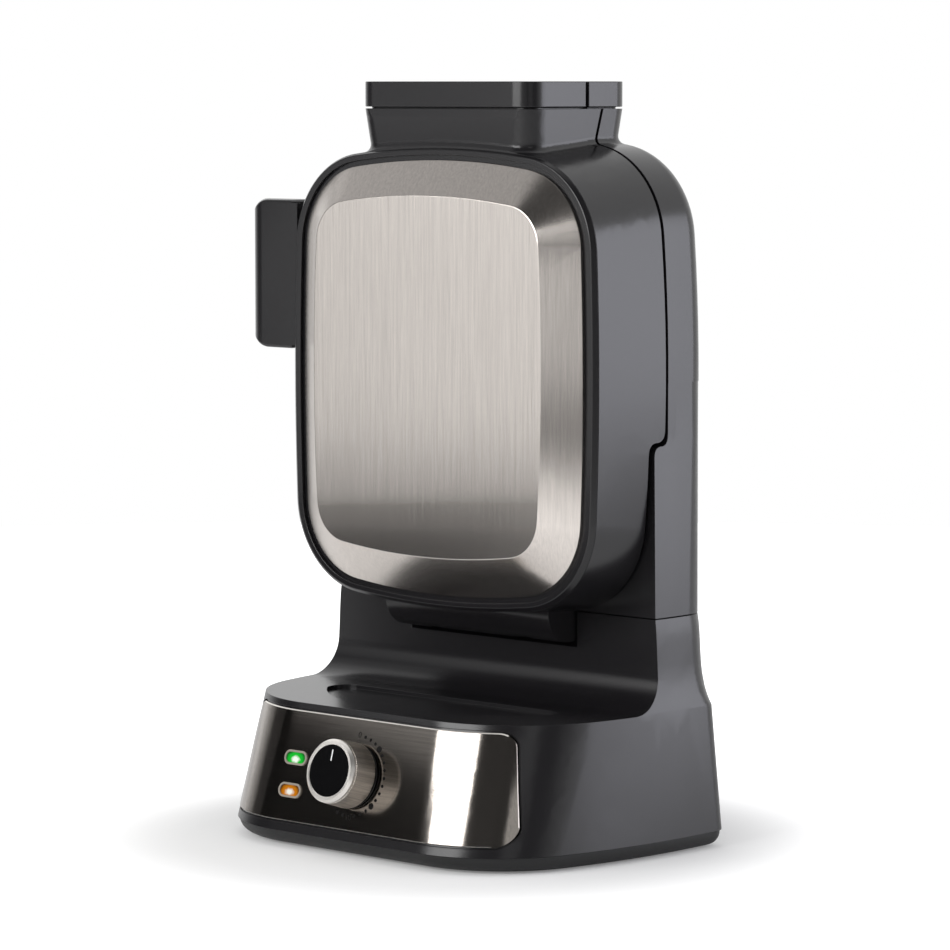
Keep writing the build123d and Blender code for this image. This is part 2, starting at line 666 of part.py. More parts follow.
def make_inner_frame(side):
    """The sheet that closes the gap between a plate's edge and the shell round it."""
    plane_y = LOWER_LID_REAR_Y if side < 0 else PARTING_Y + PARTING_GAP / 2 + FRAME_SHEET
    outer = shape_face(plane_y, body_shape_at(plane_y - FRAME_SHEET), SHELL_WALL + FRAME_CLEARANCE)
    frame = extrude(outer, amount=FRAME_SHEET)
    hole = upright_plane(plane_y + 1) * (Pos(0, BODY_CENTRE_Z) * plate_outline(-FRAME_CLEARANCE))
    frame = frame - extrude(hole, amount=FRAME_SHEET + 2)
    frame = frame - collar_loft(-FRAME_CLEARANCE)
    pocket = POCKET_RADIUS + SHELL_WALL if side > 0 else KNUCKLE_RADIUS
    length = KNUCKLE_LENGTH + 2 * (KNUCKLE_END_GAP + SHELL_WALL + FRAME_CLEARANCE)
    return frame - x_cylinder(pocket + FRAME_CLEARANCE, length, HINGE_Y, HINGE_Z)


def make_plate_screws(side):
    """Four screws that clamp plate, reflector and shell together."""
    outer = LID_FRONT_Y if side < 0 else REAR_Y
    screws = []
    for x, z in pillar_places():
        seat = outer - side * (SCREW_HEAD + SCREW_CLEARANCE)
        tip = plate_back_y(side) - side * PLATE_SCREW_BITE
        head = y_cylinder(SCREW_HEAD_RADIUS, *sorted((seat, seat + side * SCREW_HEAD)), x, z)
        shank = y_cylinder(SCREW_RADIUS, *sorted((seat, tip)), x, z)
        screws.append(head + shank)
    return Compound(children=screws)


def make_hinge_pin():
    pin = x_cylinder(PIN_RADIUS, KNUCKLE_LENGTH - 2 * PIN_INSET, HINGE_Y, HINGE_Z)
    return chamfer(pin.edges().filter_by(GeomType.CIRCLE), PIN_CHAMFER)


def make_hinge_bushes():
    bushes = []
    for side in (-1, 1):
        x = side * (KNUCKLE_LENGTH / 2 - PIN_INSET - BUSH_LENGTH / 2)
        ring = x_cylinder(PIN_RADIUS + BUSH_WALL, BUSH_LENGTH, HINGE_Y, HINGE_Z, x)
        bushes.append(ring - x_cylinder(PIN_RADIUS + RUNNING_CLEARANCE, BUSH_LENGTH + 2, HINGE_Y, HINGE_Z, x))
    return Compound(children=bushes)


def seam_half(above):
    """The room above the seam between neck and rear housing, or the room below it."""
    edge = SEAM_Z + SEAM_GAP / 2 if above else SEAM_Z - SEAM_GAP / 2
    return Pos(0, HINGE_Y, edge + (50 if above else -50)) * Box(300, 200, 100)


def pocket_wall():
    """The wall round the knuckle's pocket."""
    length = KNUCKLE_LENGTH + 2 * (KNUCKLE_END_GAP + SHELL_WALL)
    return x_cylinder(POCKET_RADIUS + SHELL_WALL, length, HINGE_Y, HINGE_Z)


def hinge_ears(above):
    """The fixed ears that hold the pin, split at the seam like the housings that they belong to."""
    ears = []
    reach = POCKET_RADIUS + SHELL_WALL / 2
    for x in (-EAR_X, EAR_X):
        arm = Pos(x, HINGE_Y + reach / 2, HINGE_Z) * Box(EAR_WIDTH, reach, 2 * EAR_RADIUS)
        ears.append(x_cylinder(EAR_RADIUS, EAR_WIDTH, HINGE_Y, HINGE_Z, x) + arm)
    pair = ears[0] + ears[1] - x_cylinder(PIN_RADIUS, KNUCKLE_LENGTH, HINGE_Y, HINGE_Z)
    return pair & seam_half(above)


def pocket_space():
    """The space that the knuckle turns in."""
    return x_cylinder(POCKET_RADIUS, KNUCKLE_LENGTH + 2 * KNUCKLE_END_GAP, HINGE_Y, HINGE_Z)


def panel_prism(grow):
    """The control panel's outline seen from the front, run through the foot's front."""
    top, bottom = PANEL_TOP_Z + grow, PANEL_BOTTOM_Z - grow
    half_top, half_bottom = PANEL_TOP_HALF_WIDTH + grow, PANEL_BOTTOM_HALF_WIDTH + grow
    corners = [(-half_bottom, bottom), (half_bottom, bottom), (half_top, top), (-half_top, top)]
    face = make_face(Polyline(*corners, close=True))
    face = fillet(face.vertices(), PANEL_CORNER + grow)
    return extrude(upright_plane(0) * face, amount=120)


def lamp_outline(inset=0.0):
    return SlotOverall(LAMP_LENGTH - 2 * inset, LAMP_HEIGHT - 2 * inset)


def lamp_hole(down, inset, low, high):
    """A pill-shaped block through the front face at one lamp."""
    return extrude(face_plane(low) * (Pos(LAMP_X, -down) * lamp_outline(inset)), amount=high - low)


def knob_cylinder(radius, low, high):
    """A round block on the knob's axis between two distances from the front face."""
    return extrude(face_plane(low) * (Pos(0, -KNOB_DOWN) * Circle(radius)), amount=high - low)


def make_control_panel():
    sheet = foot_loft(-PANEL_PROUD) - foot_loft(PANEL_THICKNESS - PANEL_PROUD)
    panel = sheet & panel_prism(0)
    panel = panel - knob_cylinder(SHAFT_RADIUS + SHAFT_HOLE_CLEARANCE, -20, 20)
    for down in LAMP_DOWN:
        panel = panel - lamp_hole(down, 0, -20, 20)
    return panel


def tray_outline(inset=0.0):
    """The recess in the foot's top: a straight rear edge and a bowed front edge."""
    half, rear, front = TRAY_LENGTH / 2 - inset, TRAY_REAR_Y - inset, TRAY_FRONT_Y + inset
    end = TRAY_END_Y
    edges = [
        Line((half, end), (half, rear)),
        Line((half, rear), (-half, rear)),
        Line((-half, rear), (-half, end)),
        ThreePointArc((-half, end), (0, front), (half, end)),
    ]
    face = make_face(Curve() + edges)
    return Pos(0, 0, FOOT_TOP_Z) * fillet(face.vertices(), TRAY_CORNER - inset)


def make_base_housing():
    seam = SEAM_Z - SEAM_GAP / 2
    neck = neck_loft(0, seam)
    foot_room = foot_loft(SHELL_WALL, SKIRT_TOP_Z - 1, FOOT_TOP_Z - SHELL_WALL)
    shell = foot_loft() + neck - foot_room - neck_loft(SHELL_WALL, seam + 1)
    under_tray = extrude(tray_outline(-SHELL_WALL), amount=-TRAY_DEPTH - SHELL_WALL)
    shell = shell + under_tray - extrude(tray_outline(), amount=-TRAY_DEPTH)
    shell = shell + (pocket_wall() & neck) - pocket_space() + hinge_ears(False)
    recess = foot_loft(-4) - foot_loft(PANEL_THICKNESS - PANEL_PROUD + PANEL_SEAT_GAP)
    shell = shell - (recess & panel_prism(PANEL_GAP))
    shell = shell - knob_cylinder(SHAFT_RADIUS + SHAFT_HOLE_CLEARANCE, -20, 5)
    for down in LAMP_DOWN:
        shell = shell - lamp_hole(down, 0, -20, 5)
    shell = shell - y_cylinder(GLAND_RADIUS - GLAND_SHOULDER, REAR_Y - 10, REAR_Y + 5, GLAND_X, GLAND_Z)
    for x, y in screw_places():
        high = FOOT_TOP_Z - SHELL_WALL / 2 if y < 0 else REAR_POST_TOP_Z
        middle, height = (SKIRT_TOP_Z + high) / 2, high - SKIRT_TOP_Z
        post = Pos(x, y, middle) * Cylinder(PILLAR_RADIUS, height)
        if y > 0:
            rib_length = REAR_Y - y - 1
            post = post + Pos(x, y + rib_length / 2, middle) * Box(POST_RIB, rib_length, height)
        hole = Pos(x, y, SKIRT_TOP_Z) * Cylinder(SCREW_RADIUS, 2 * BASE_SCREW_HOLE)
        shell = shell + (post - hole)
    return shell


def screw_places():
    """The four screws that hold the base pan."""
    return [(sx * BASE_SCREW_X, y) for sx in (-1, 1) for y in BASE_SCREW_Y]


def pan_outline(z, front_inset, side_inset):
    """The base pan's plan at a level, set in more at the front than at the sides."""
    front = foot_front_at(SKIRT_TOP_Z) + front_inset - side_inset
    return stand_outline(z, front, FOOT_HALF_WIDTH, FOOT_FRONT_RADIUS, FOOT_REAR_RADIUS, side_inset)


def make_base_pan():
    """The dark pan under the foot, with a round lower edge."""
    levels = zip(SKIRT_LEVELS, SKIRT_FRONT_INSETS, SKIRT_SIDE_INSETS)
    pan = loft([pan_outline(*level) for level in levels])
    room = pan_outline(SKIRT_TOP_Z, SKIRT_FRONT_INSETS[1] + 2 * PAN_WALL, SKIRT_SIDE_INSETS[1] + 2 * PAN_WALL)
    pan = pan - extrude(room, amount=PAN_BOTTOM_Z + PAN_WALL - SKIRT_TOP_Z)
    for x, y in screw_places():
        middle, height = (PAN_BOTTOM_Z + SKIRT_TOP_Z) / 2, SKIRT_TOP_Z - PAN_BOTTOM_Z
        pan = pan + Pos(x, y, middle) * Cylinder(PILLAR_RADIUS, height)
        pan = pan - Pos(x, y, SKIRT_TOP_Z / 2) * Cylinder(SCREW_RADIUS + SCREW_CLEARANCE, SKIRT_TOP_Z + 4)
        head = SCREW_HEAD + PAN_PAD_RECESS
        pan = pan - Pos(x, y, PAN_BOTTOM_Z) * Cylinder(SCREW_HEAD_RADIUS + SCREW_CLEARANCE, 2 * head)
    centre = (PAN_SLOT_COUNT - 1) / 2
    slot = Pos(0, PAN_SLOT_Y, PAN_BOTTOM_Z) * Box(PAN_SLOT_WIDTH, PAN_SLOT_LENGTH, 4 * PAN_WALL)
    slots = [Pos((i - centre) * PAN_SLOT_PITCH, 0, 0) * slot for i in range(PAN_SLOT_COUNT)]
    pads = [Pos(x, y, PAN_BOTTOM_Z) * Cylinder(FOOT_PAD_RADIUS, 2 * PAN_PAD_RECESS) for x, y in pad_places()]
    return pan - slots - pads


def pad_places():
    return [(sx * FOOT_PAD_X, y) for sx in (-1, 1) for y in FOOT_PAD_Y]


def make_rubber_feet():
    height = PAN_BOTTOM_Z + PAN_PAD_RECESS
    pads = [Pos(x, y, height / 2) * Cylinder(FOOT_PAD_RADIUS, height) for x, y in pad_places()]
    return Compound(children=pads)


def make_base_screws():
    screws = []
    for x, y in screw_places():
        head_low = PAN_BOTTOM_Z + PAN_PAD_RECESS
        head_top = head_low + SCREW_HEAD
        head = Pos(x, y, (head_low + head_top) / 2) * Cylinder(SCREW_HEAD_RADIUS, SCREW_HEAD)
        tip = SKIRT_TOP_Z + BASE_SCREW_REACH
        screws.append(head + Pos(x, y, (head_top + tip) / 2) * Cylinder(SCREW_RADIUS, tip - head_top))
    return Compound(children=screws)


def column_loft(inset=0.0):
    """The lower part of the rear housing, which widens downwards to meet the neck."""
    low, flush = SEAM_Z + SEAM_GAP / 2, STEP_Z + STEP_HALF
    half = LID_REAR_SHAPE[0] / 2
    front, radius = FOOT_FRONT_Y, FOOT_TOP_FRONT_RADIUS
    base = stand_outline(low, front, NECK_HALF_WIDTHS[-1], radius, NECK_REAR_RADII[-1], inset)
    middle = stand_outline(flush, front, half, radius, COLUMN_REAR_RADIUS, inset)
    top = stand_outline(BODY_CENTRE_Z, front, half, radius, COLUMN_REAR_RADIUS, inset)
    return loft([base, middle]) + loft([middle, top])


def housing_loft(inset=0.0):
    """The upper part of the rear housing, behind the lid."""
    rear_y = REAR_Y - inset
    block = extrude(shape_face(rear_y, LID_REAR_SHAPE, inset), amount=rear_y + 10)
    rear_edges = [edge for edge in block.edges() if edge.center().Y > rear_y - 0.01]
    block = fillet(rear_edges, HOUSING_BACK_ROUND - inset)
    return block & (Pos(0, 0, BODY_CENTRE_Z + 100) * Box(400, 400, 200))


def make_rear_outer():
    """The rear housing's outside with its half of the collar."""
    return blend_collar(column_loft() + housing_loft() + collar_loft()) - parting_cutter(1)


def make_rear_housing():
    outer = make_rear_outer()
    room = column_loft(SHELL_WALL) + housing_loft(SHELL_WALL) - collar_loft()
    middle_z = (SEAM_Z + STEP_Z) / 2
    front_wall = Pos(0, COLUMN_FRONT_Y - 50 + SHELL_WALL, middle_z) * Box(300, 100, STEP_Z - SEAM_Z + 20)
    opening = upright_plane(PARTING_Y) * (Pos(0, BODY_CENTRE_Z) * plate_outline(-FRAME_CLEARANCE))
    opening = extrude(opening, amount=60)
    front_wall = front_wall - opening
    shell = outer - (room - front_wall)
    shell = shell - collar_loft(FUNNEL_WALL)
    floor = collar_floor() & mating_half(1)
    shell = shell + (floor - parting_cutter(1)) + (floor & collar_loft(FUNNEL_WALL + SPIGOT_CLEARANCE))
    shell = shell + ((pocket_wall() & outer) - opening) - pocket_space()
    shell = shell + hinge_ears(True)
    for x, z in pillar_places():
        boss_front = plate_back_y(1) + REFLECTOR_STANDOFF + REFLECTOR_SHEET
        shell = shell + y_cylinder(PILLAR_RADIUS, boss_front, REAR_Y - 1, x, z)
        shell = shell - y_cylinder(SCREW_RADIUS + SCREW_CLEARANCE, boss_front - 1, REAR_Y + 1, x, z)
        head_front = REAR_Y - SCREW_HEAD - SCREW_CLEARANCE
        shell = shell - y_cylinder(SCREW_HEAD_RADIUS + SCREW_CLEARANCE, head_front, REAR_Y + 1, x, z)
    vent = Pos(0, REAR_Y, VENT_LOW_Z) * Box(VENT_WIDTH, 4 * SHELL_WALL, VENT_HEIGHT)
    vents = [Pos(i * VENT_PITCH_X, 0, j * VENT_PITCH_Z) * vent for i in (-1, 0, 1) for j in range(VENT_ROWS)]
    return shell - vents


def handle_profile():
    """The grip seen from above: a thick paddle with its outer end rounded more at the front."""
    front, rear = HANDLE_FRONT_Y, HANDLE_FRONT_Y + HANDLE_THICKNESS
    middle = ((HANDLE_OUTER_X + HANDLE_INNER_X) / 2, (front + rear) / 2)
    paddle = Pos(*middle) * Rectangle(HANDLE_INNER_X - HANDLE_OUTER_X, HANDLE_THICKNESS)
    outer = paddle.vertices().group_by(Axis.X)[0].sort_by(Axis.Y)
    paddle = fillet(outer[0], HANDLE_FRONT_ROUND)
    rest = paddle.vertices().sort_by(Axis.Y)
    rear_corners = [corner for corner in rest if corner.Y > rear - 0.01]
    return fillet(rear_corners, HANDLE_REAR_ROUND)


def knuckle_profile():
    """The part of the grip round its pin, seen from above."""
    bridge_length = LATCH_X - HANDLE_INNER_X + 4
    bridge = Pos(LATCH_X - bridge_length / 2, LATCH_Y) * Rectangle(bridge_length, 2 * LATCH_KNUCKLE_RADIUS)
    return bridge + Pos(LATCH_X, LATCH_Y) * Circle(LATCH_KNUCKLE_RADIUS)


def upright_block(profile, low, high):
    """A plan profile run up between two heights."""
    return Pos(0, 0, low) * extrude(profile, amount=high - low)


def grip_corners(low, high):
    """A tall block with rounded corners, set square to the grip's rounded front edge."""
    slant = Plane(origin=(0, 0, 0), x_dir=(1, 1, 0), z_dir=(1, -1, 0))
    round_middle = HANDLE_OUTER_X + HANDLE_FRONT_Y + 2 * HANDLE_FRONT_ROUND
    tip = round_middle / math.sqrt(2) - HANDLE_FRONT_ROUND - HANDLE_CORNER_MARGIN
    length = HANDLE_INNER_X - HANDLE_OUTER_X + HANDLE_THICKNESS
    outline = Pos(tip + length / 2, (low + high) / 2) * Rectangle(length, high - low)
    outer = [corner for corner in outline.vertices() if corner.X < tip + 1]
    return extrude(slant * fillet(outer, HANDLE_CORNER), amount=-2 * HANDLE_OUTER_X, both=True)


def flange_profile():
    """The thin front edge of the grip that covers the knuckle, seen from above."""
    length = 2 * HANDLE_FLANGE_REACH
    return Pos(HANDLE_INNER_X, HANDLE_FRONT_Y + HANDLE_FLANGE / 2) * Rectangle(length, HANDLE_FLANGE)


def make_latch_handle():
    """The grip that stands out to the left of the lid and turns about an upright pin."""
    low, high = HANDLE_BOTTOM_Z, HANDLE_TOP_Z
    grip = round_grip(upright_block(handle_profile(), low, high) & grip_corners(low, high))
    grip = grip + upright_block(flange_profile(), low + HANDLE_EDGE_ROUND, high - HANDLE_EDGE_ROUND)
    knuckle_low, knuckle_high = low + LATCH_KNUCKLE_TRIM, high - LATCH_KNUCKLE_TRIM
    grip = grip + upright_block(knuckle_profile(), knuckle_low, knuckle_high)
    spring_room = Pos(LATCH_X, LATCH_Y) * Circle(LATCH_KNUCKLE_RADIUS + 1)
    grip = grip - upright_block(spring_room, knuckle_low - 1, knuckle_low + SPRING_SPACE)
    bore = Pos(LATCH_X, LATCH_Y) * Circle(LATCH_PIN_RADIUS + RUNNING_CLEARANCE)
    return grip - upright_block(bore, low - 1, high + 1) - make_latch_claw()


def is_grip_edge(edge):
    """Whether an edge runs round the grip's end, top or bottom, and isn't a seam in a smooth surface."""
    if edge.center().X > HANDLE_INNER_X - 0.01:
        return False
    along = edge.tangent_at(0.5)
    across = along.cross(Vector(1, -1, 0)).length
    return edge.geom_type != GeomType.LINE or (abs(along.Z) < 0.9 and across > 0.01)


def round_grip(grip):
    """Softens the edges round the grip's outer end, front and rear."""
    return fillet([edge for edge in grip.edges() if is_grip_edge(edge)], HANDLE_EDGE_ROUND)


def make_latch_claw():
    """The strap set in the grip that runs to the rear and carries the nose of the catch."""
    middle_z = (HANDLE_TOP_Z + HANDLE_BOTTOM_Z) / 2
    outer_x = LATCH_X - LATCH_PIN_RADIUS - CLAW_PIN_GAP - CLAW_THICKNESS
    start_y = LATCH_Y - CLAW_OVERLAP
    strap = Pos(outer_x + CLAW_THICKNESS / 2, (start_y + CLAW_REAR_Y) / 2, middle_z) * Box(
        CLAW_THICKNESS, CLAW_REAR_Y - start_y, CLAW_HEIGHT
    )
    inner_x = keeper_x() - CATCH_GAP
    end_width = inner_x - outer_x
    end_y = CLAW_REAR_Y - CLAW_END_LENGTH / 2
    end = Pos(outer_x + end_width / 2, end_y, middle_z) * Box(end_width, CLAW_END_LENGTH, CLAW_HEIGHT)
    nose_x = inner_x + NOSE_PROUD - NOSE_RADIUS
    return strap + end + Pos(nose_x, end_y, middle_z) * Cylinder(NOSE_RADIUS, NOSE_HEIGHT)


def keeper_x():
    """The keeper's outer face."""
    return -LID_REAR_SHAPE[0] / 2 - KEEPER_PROUD


def make_latch_keeper():
    """The catch plate on the rear housing's left side, grooved for the claw's nose."""
    middle_z = (HANDLE_TOP_Z + HANDLE_BOTTOM_Z) / 2
    length = KEEPER_REAR_Y - KEEPER_FRONT_Y
    middle_y = (KEEPER_REAR_Y + KEEPER_FRONT_Y) / 2
    size = (KEEPER_DEPTH, length, CLAW_HEIGHT + 2 * KEEPER_MARGIN)
    plate = Pos(keeper_x() + KEEPER_DEPTH / 2, middle_y, middle_z) * Box(*size)
    groove = Pos(keeper_x(), middle_y, middle_z) * Box(2 * KEEPER_GROOVE_DEPTH, length + 2, KEEPER_GROOVE)
    return plate - groove - (column_loft() + housing_loft())


def bracket_profile():
    """One arm of the latch bracket, seen from above."""
    inner_x = -LID_REAR_SHAPE[0] / 2 + BRACKET_ROOT
    arm = Pos((LATCH_X + inner_x) / 2, LATCH_Y) * Rectangle(inner_x - LATCH_X, 2 * LATCH_KNUCKLE_RADIUS)
    return arm + Pos(LATCH_X, LATCH_Y) * Circle(LATCH_KNUCKLE_RADIUS)


def bracket_levels():
    """The lower and upper ends of each bracket arm."""
    low = HANDLE_BOTTOM_Z + LATCH_KNUCKLE_TRIM - BRACKET_GAP
    high = HANDLE_TOP_Z - LATCH_KNUCKLE_TRIM + BRACKET_GAP
    return (low - BRACKET_THICKNESS, low), (high, high + BRACKET_THICKNESS)


def make_latch_bracket():
    low, high = bracket_levels()
    arms = upright_block(bracket_profile(), *low) + upright_block(bracket_profile(), *high)
    bore = Pos(LATCH_X, LATCH_Y) * Circle(LATCH_PIN_RADIUS)
    solid_lid = body_loft(LID_FRONT_Y, PARTING_Y)
    return arms - upright_block(bore, low[0] - 1, high[1] + 1) - solid_lid


def make_latch_pin():
    low, high = bracket_levels()
    return upright_block(Pos(LATCH_X, LATCH_Y) * Circle(LATCH_PIN_RADIUS), low[0], high[1])


def make_latch_spring():
    """The torsion spring under the grip's knuckle."""
    pitch = 2 * SPRING_WIRE + SPRING_COIL_GAP
    height = pitch * SPRING_TURNS
    path = Helix(pitch, height, SPRING_RADIUS)
    profile = Plane(path @ 0, z_dir=path % 0) * Circle(SPRING_WIRE)
    coil = sweep(profile, path=path, is_frenet=True)
    low = HANDLE_BOTTOM_Z + LATCH_KNUCKLE_TRIM + (SPRING_SPACE - height) / 2
    return Pos(LATCH_X, LATCH_Y, low) * coil


def make_knob_body():
    top = KNOB_LIFT + KNOB_HEIGHT
    body = loft([
        face_plane(KNOB_LIFT) * (Pos(0, -KNOB_DOWN) * Circle(KNOB_RADIUS)),
        face_plane(top) * (Pos(0, -KNOB_DOWN) * Circle(KNOB_FRONT_RADIUS)),
    ])
    front_edge = body.edges().filter_by(GeomType.CIRCLE).sort_by(Axis.Y)[0]
    body = chamfer(front_edge, KNOB_CHAMFER)
    body = body - knob_cylinder(KNOB_RADIUS - KNOB_WALL, KNOB_LIFT - 1, top - KNOB_CAP)
    return body - knob_cylinder(KNOB_FACE_RADIUS, top - KNOB_FACE_THICKNESS, top + 1)


def make_knob_core():
    """The black core that the knob's shell is pressed on, with the bore for the shaft."""
    top = KNOB_LIFT + KNOB_HEIGHT
    flange = knob_cylinder(KNOB_RADIUS - KNOB_CORE_INSET, KNOB_CORE_LIFT, KNOB_LIFT)
    plug = knob_cylinder(KNOB_RADIUS - KNOB_WALL, KNOB_LIFT, top - KNOB_CAP)
    return flange + plug - knob_cylinder(SHAFT_RADIUS, KNOB_CORE_LIFT - 1, top - KNOB_CAP - SHAFT_END_GAP)


def pointer_block(low, high):
    at = Pos(0, -KNOB_DOWN + KNOB_FACE_RADIUS - POINTER_INSET - POINTER_LENGTH / 2)
    return extrude(face_plane(low) * (at * Rectangle(POINTER_WIDTH, POINTER_LENGTH)), amount=high - low)


def make_knob_face():
    top = KNOB_LIFT + KNOB_HEIGHT - KNOB_FACE_RECESS
    low = KNOB_LIFT + KNOB_HEIGHT - KNOB_FACE_THICKNESS
    return knob_cylinder(KNOB_FACE_RADIUS, low, top) - pointer_block(top - POINTER_DEPTH, top + 1)


def make_knob_pointer():
    top = KNOB_LIFT + KNOB_HEIGHT - KNOB_FACE_RECESS
    return pointer_block(top - POINTER_DEPTH, top)


def make_thermostat_shaft():
    return knob_cylinder(SHAFT_RADIUS, -SHAFT_TAIL, KNOB_LIFT + KNOB_HEIGHT - KNOB_CAP - SHAFT_END_GAP)


def make_thermostat():
    """The switch body behind the panel, with the collar that its shaft turns in."""
    width, height, depth = THERMOSTAT_SIZE
    back = -SHELL_WALL - THERMOSTAT_GAP
    outline = face_plane(back) * (Pos(0, -KNOB_DOWN) * RectangleRounded(width, height, THERMOSTAT_CORNER))
    body = extrude(outline, amount=-depth)
    return body - knob_cylinder(SHAFT_RADIUS + RUNNING_CLEARANCE, -SHAFT_TAIL - 0.5, 2)


def make_lamp_board():
    width, height, depth = BOARD_SIZE
    middle = sum(LAMP_DOWN) / 2
    back = -LAMP_DEPTH - BOARD_STANDOFF
    board = extrude(face_plane(back) * (Pos(LAMP_X, -middle) * Rectangle(width, height)), amount=-depth)
    for down in LAMP_DOWN:
        diode = face_plane(back) * (Pos(LAMP_X, -down) * Circle(DIODE_RADIUS))
        board = board + extrude(diode, amount=DIODE_HEIGHT)
    return board


def make_lamp_bezels():
    rings = []
    for down in LAMP_DOWN:
        ring = lamp_hole(down, 0, -SHELL_WALL, LAMP_PROUD + PANEL_PROUD)
        rings.append(ring - lamp_hole(down, LAMP_BEZEL_WALL, -SHELL_WALL - 1, 5))
    return Compound(children=rings)


def make_lens(down):
    lens = lamp_hole(down, LAMP_BEZEL_WALL, -LAMP_DEPTH, LAMP_PROUD)
    front = lens.faces().sort_by(Axis.Y)[0]
    return fillet(front.edges(), LENS_ROUND)


def make_terminal_block():
    width, depth, height = TERMINAL_SIZE
    floor = PAN_BOTTOM_Z + PAN_WALL
    x, y = terminal_place()
    block = Pos(x, y, floor + height / 2) * Box(width, depth, height)
    hole = Pos(x, y, floor + height) * Cylinder(TERMINAL_HOLE_RADIUS, 2 * TERMINAL_HOLE_DEPTH)
    return block - [Pos(i * TERMINAL_PITCH, 0, 0) * hole for i in (-1, 0, 1)]


def terminal_place():
    """The middle of the terminal block in plan."""
    return GLAND_X - TERMINAL_FROM_GLAND, REAR_Y - TERMINAL_FROM_REAR


def make_cord_gland():
    """The inlet bush in the foot's back wall."""
    inner = REAR_Y - SHELL_WALL - GLAND_REACH
    neck = y_cylinder(GLAND_RADIUS - GLAND_SHOULDER, inner, REAR_Y + 1, GLAND_X, GLAND_Z)
    flange = y_cylinder(GLAND_RADIUS, REAR_Y, REAR_Y + GLAND_FLANGE, GLAND_X, GLAND_Z)
    return neck + flange - y_cylinder(GLAND_BORE, REAR_Y - 20, REAR_Y + 5, GLAND_X, GLAND_Z)


def make_thermal_fuse():
    """The safety cut-out clipped behind the rear reflector."""
    near = plate_back_y(1) + REFLECTOR_STANDOFF + REFLECTOR_SHEET
    can = y_cylinder(FUSE_RADIUS, near, near + FUSE_HEIGHT, 0, BODY_CENTRE_Z)
    return can + Pos(0, near + FUSE_STRAP[1] / 2, BODY_CENTRE_Z) * Box(*FUSE_STRAP)


def make_wiring():
    """Two leads from the terminal block to the thermostat."""
    leads = []
    top = PAN_BOTTOM_Z + PAN_WALL + TERMINAL_SIZE[2]
    block_x, y = terminal_place()
    for i in range(WIRE_COUNT):
        x = block_x - TERMINAL_PITCH * i
        end_x = WIRE_END_X - WIRE_END_GAP * i
        points = [
            (x, y, top), (x, y, top + WIRE_RISE), (x - WIRE_SIDESTEP, y - WIRE_SIDESTEP, top + WIRE_RISE),
            (end_x + WIRE_BEND, WIRE_END_Y[0], WIRE_LEVEL_Z), (end_x, WIRE_END_Y[1], WIRE_LEVEL_Z),
        ]
        path = FilletPolyline(*points, radius=WIRE_BEND)
        profile = Plane(path @ 0, z_dir=path % 0) * Circle(WIRE_RADIUS)
        leads.append(sweep(profile, path=path))
    return Compound(children=leads)


def make_all():
    """Every piece by the name of its node."""
    return {
        "base_housing": make_base_housing(),
        "base_pan": make_base_pan(),
        "rubber_feet": make_rubber_feet(),
        "base_screws": make_base_screws(),
        "control_panel": make_control_panel(),
        "lamp_bezels": make_lamp_bezels(),
        "green_lens": make_lens(LAMP_DOWN[0]),
        "orange_lens": make_lens(LAMP_DOWN[1]),
        "lamp_board": make_lamp_board(),
        "thermostat": make_thermostat(),
        "thermostat_shaft": make_thermostat_shaft(),
        "terminal_block": make_terminal_block(),
        "cord_gland": make_cord_gland(),
        "wiring": make_wiring(),
        "rear_housing": make_rear_housing(),
        "rear_lip_ring": make_lip_ring(1),
        "rear_inner_frame": make_inner_frame(1),
        "rear_baking_plate": make_baking_plate(1),
        "rear_heater": make_heater(1),
        "rear_reflector": make_reflector(1),
        "rear_plate_screws": make_plate_screws(1),
        "thermal_fuse": make_thermal_fuse(),
        "latch_keeper": make_latch_keeper(),
        "hinge_pin": make_hinge_pin(),
        "hinge_bushes": make_hinge_bushes(),
        "lid_housing": make_lid_housing(),
        "lid_bezel": make_lid_bezel(),
        "steel_front_panel": make_steel_front_panel(),
        "front_lip_ring": make_lip_ring(-1),
        "front_inner_frame": make_inner_frame(-1),
        "front_baking_plate": make_baking_plate(-1),
        "front_heater": make_heater(-1),
        "front_reflector": make_reflector(-1),
        "front_plate_screws": make_plate_screws(-1),
        "latch_bracket": make_latch_bracket(),
        "latch_pin": make_latch_pin(),
        "latch_spring": make_latch_spring(),
        "latch_handle": make_latch_handle(),
        "latch_claw": make_latch_claw(),
        "knob_body": make_knob_body(),
        "knob_core": make_knob_core(),
        "knob_face": make_knob_face(),
        "knob_pointer": make_knob_pointer(),
    }


def main():
    os.makedirs("parts", exist_ok=True)
    for name, shape in make_all().items():
        export_step(shape, f"parts/{name}.step")
        print(name, round(shape.volume, 1))


main()
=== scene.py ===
import json
import math

import bmesh
import bpy
from mathutils import Matrix, Vector


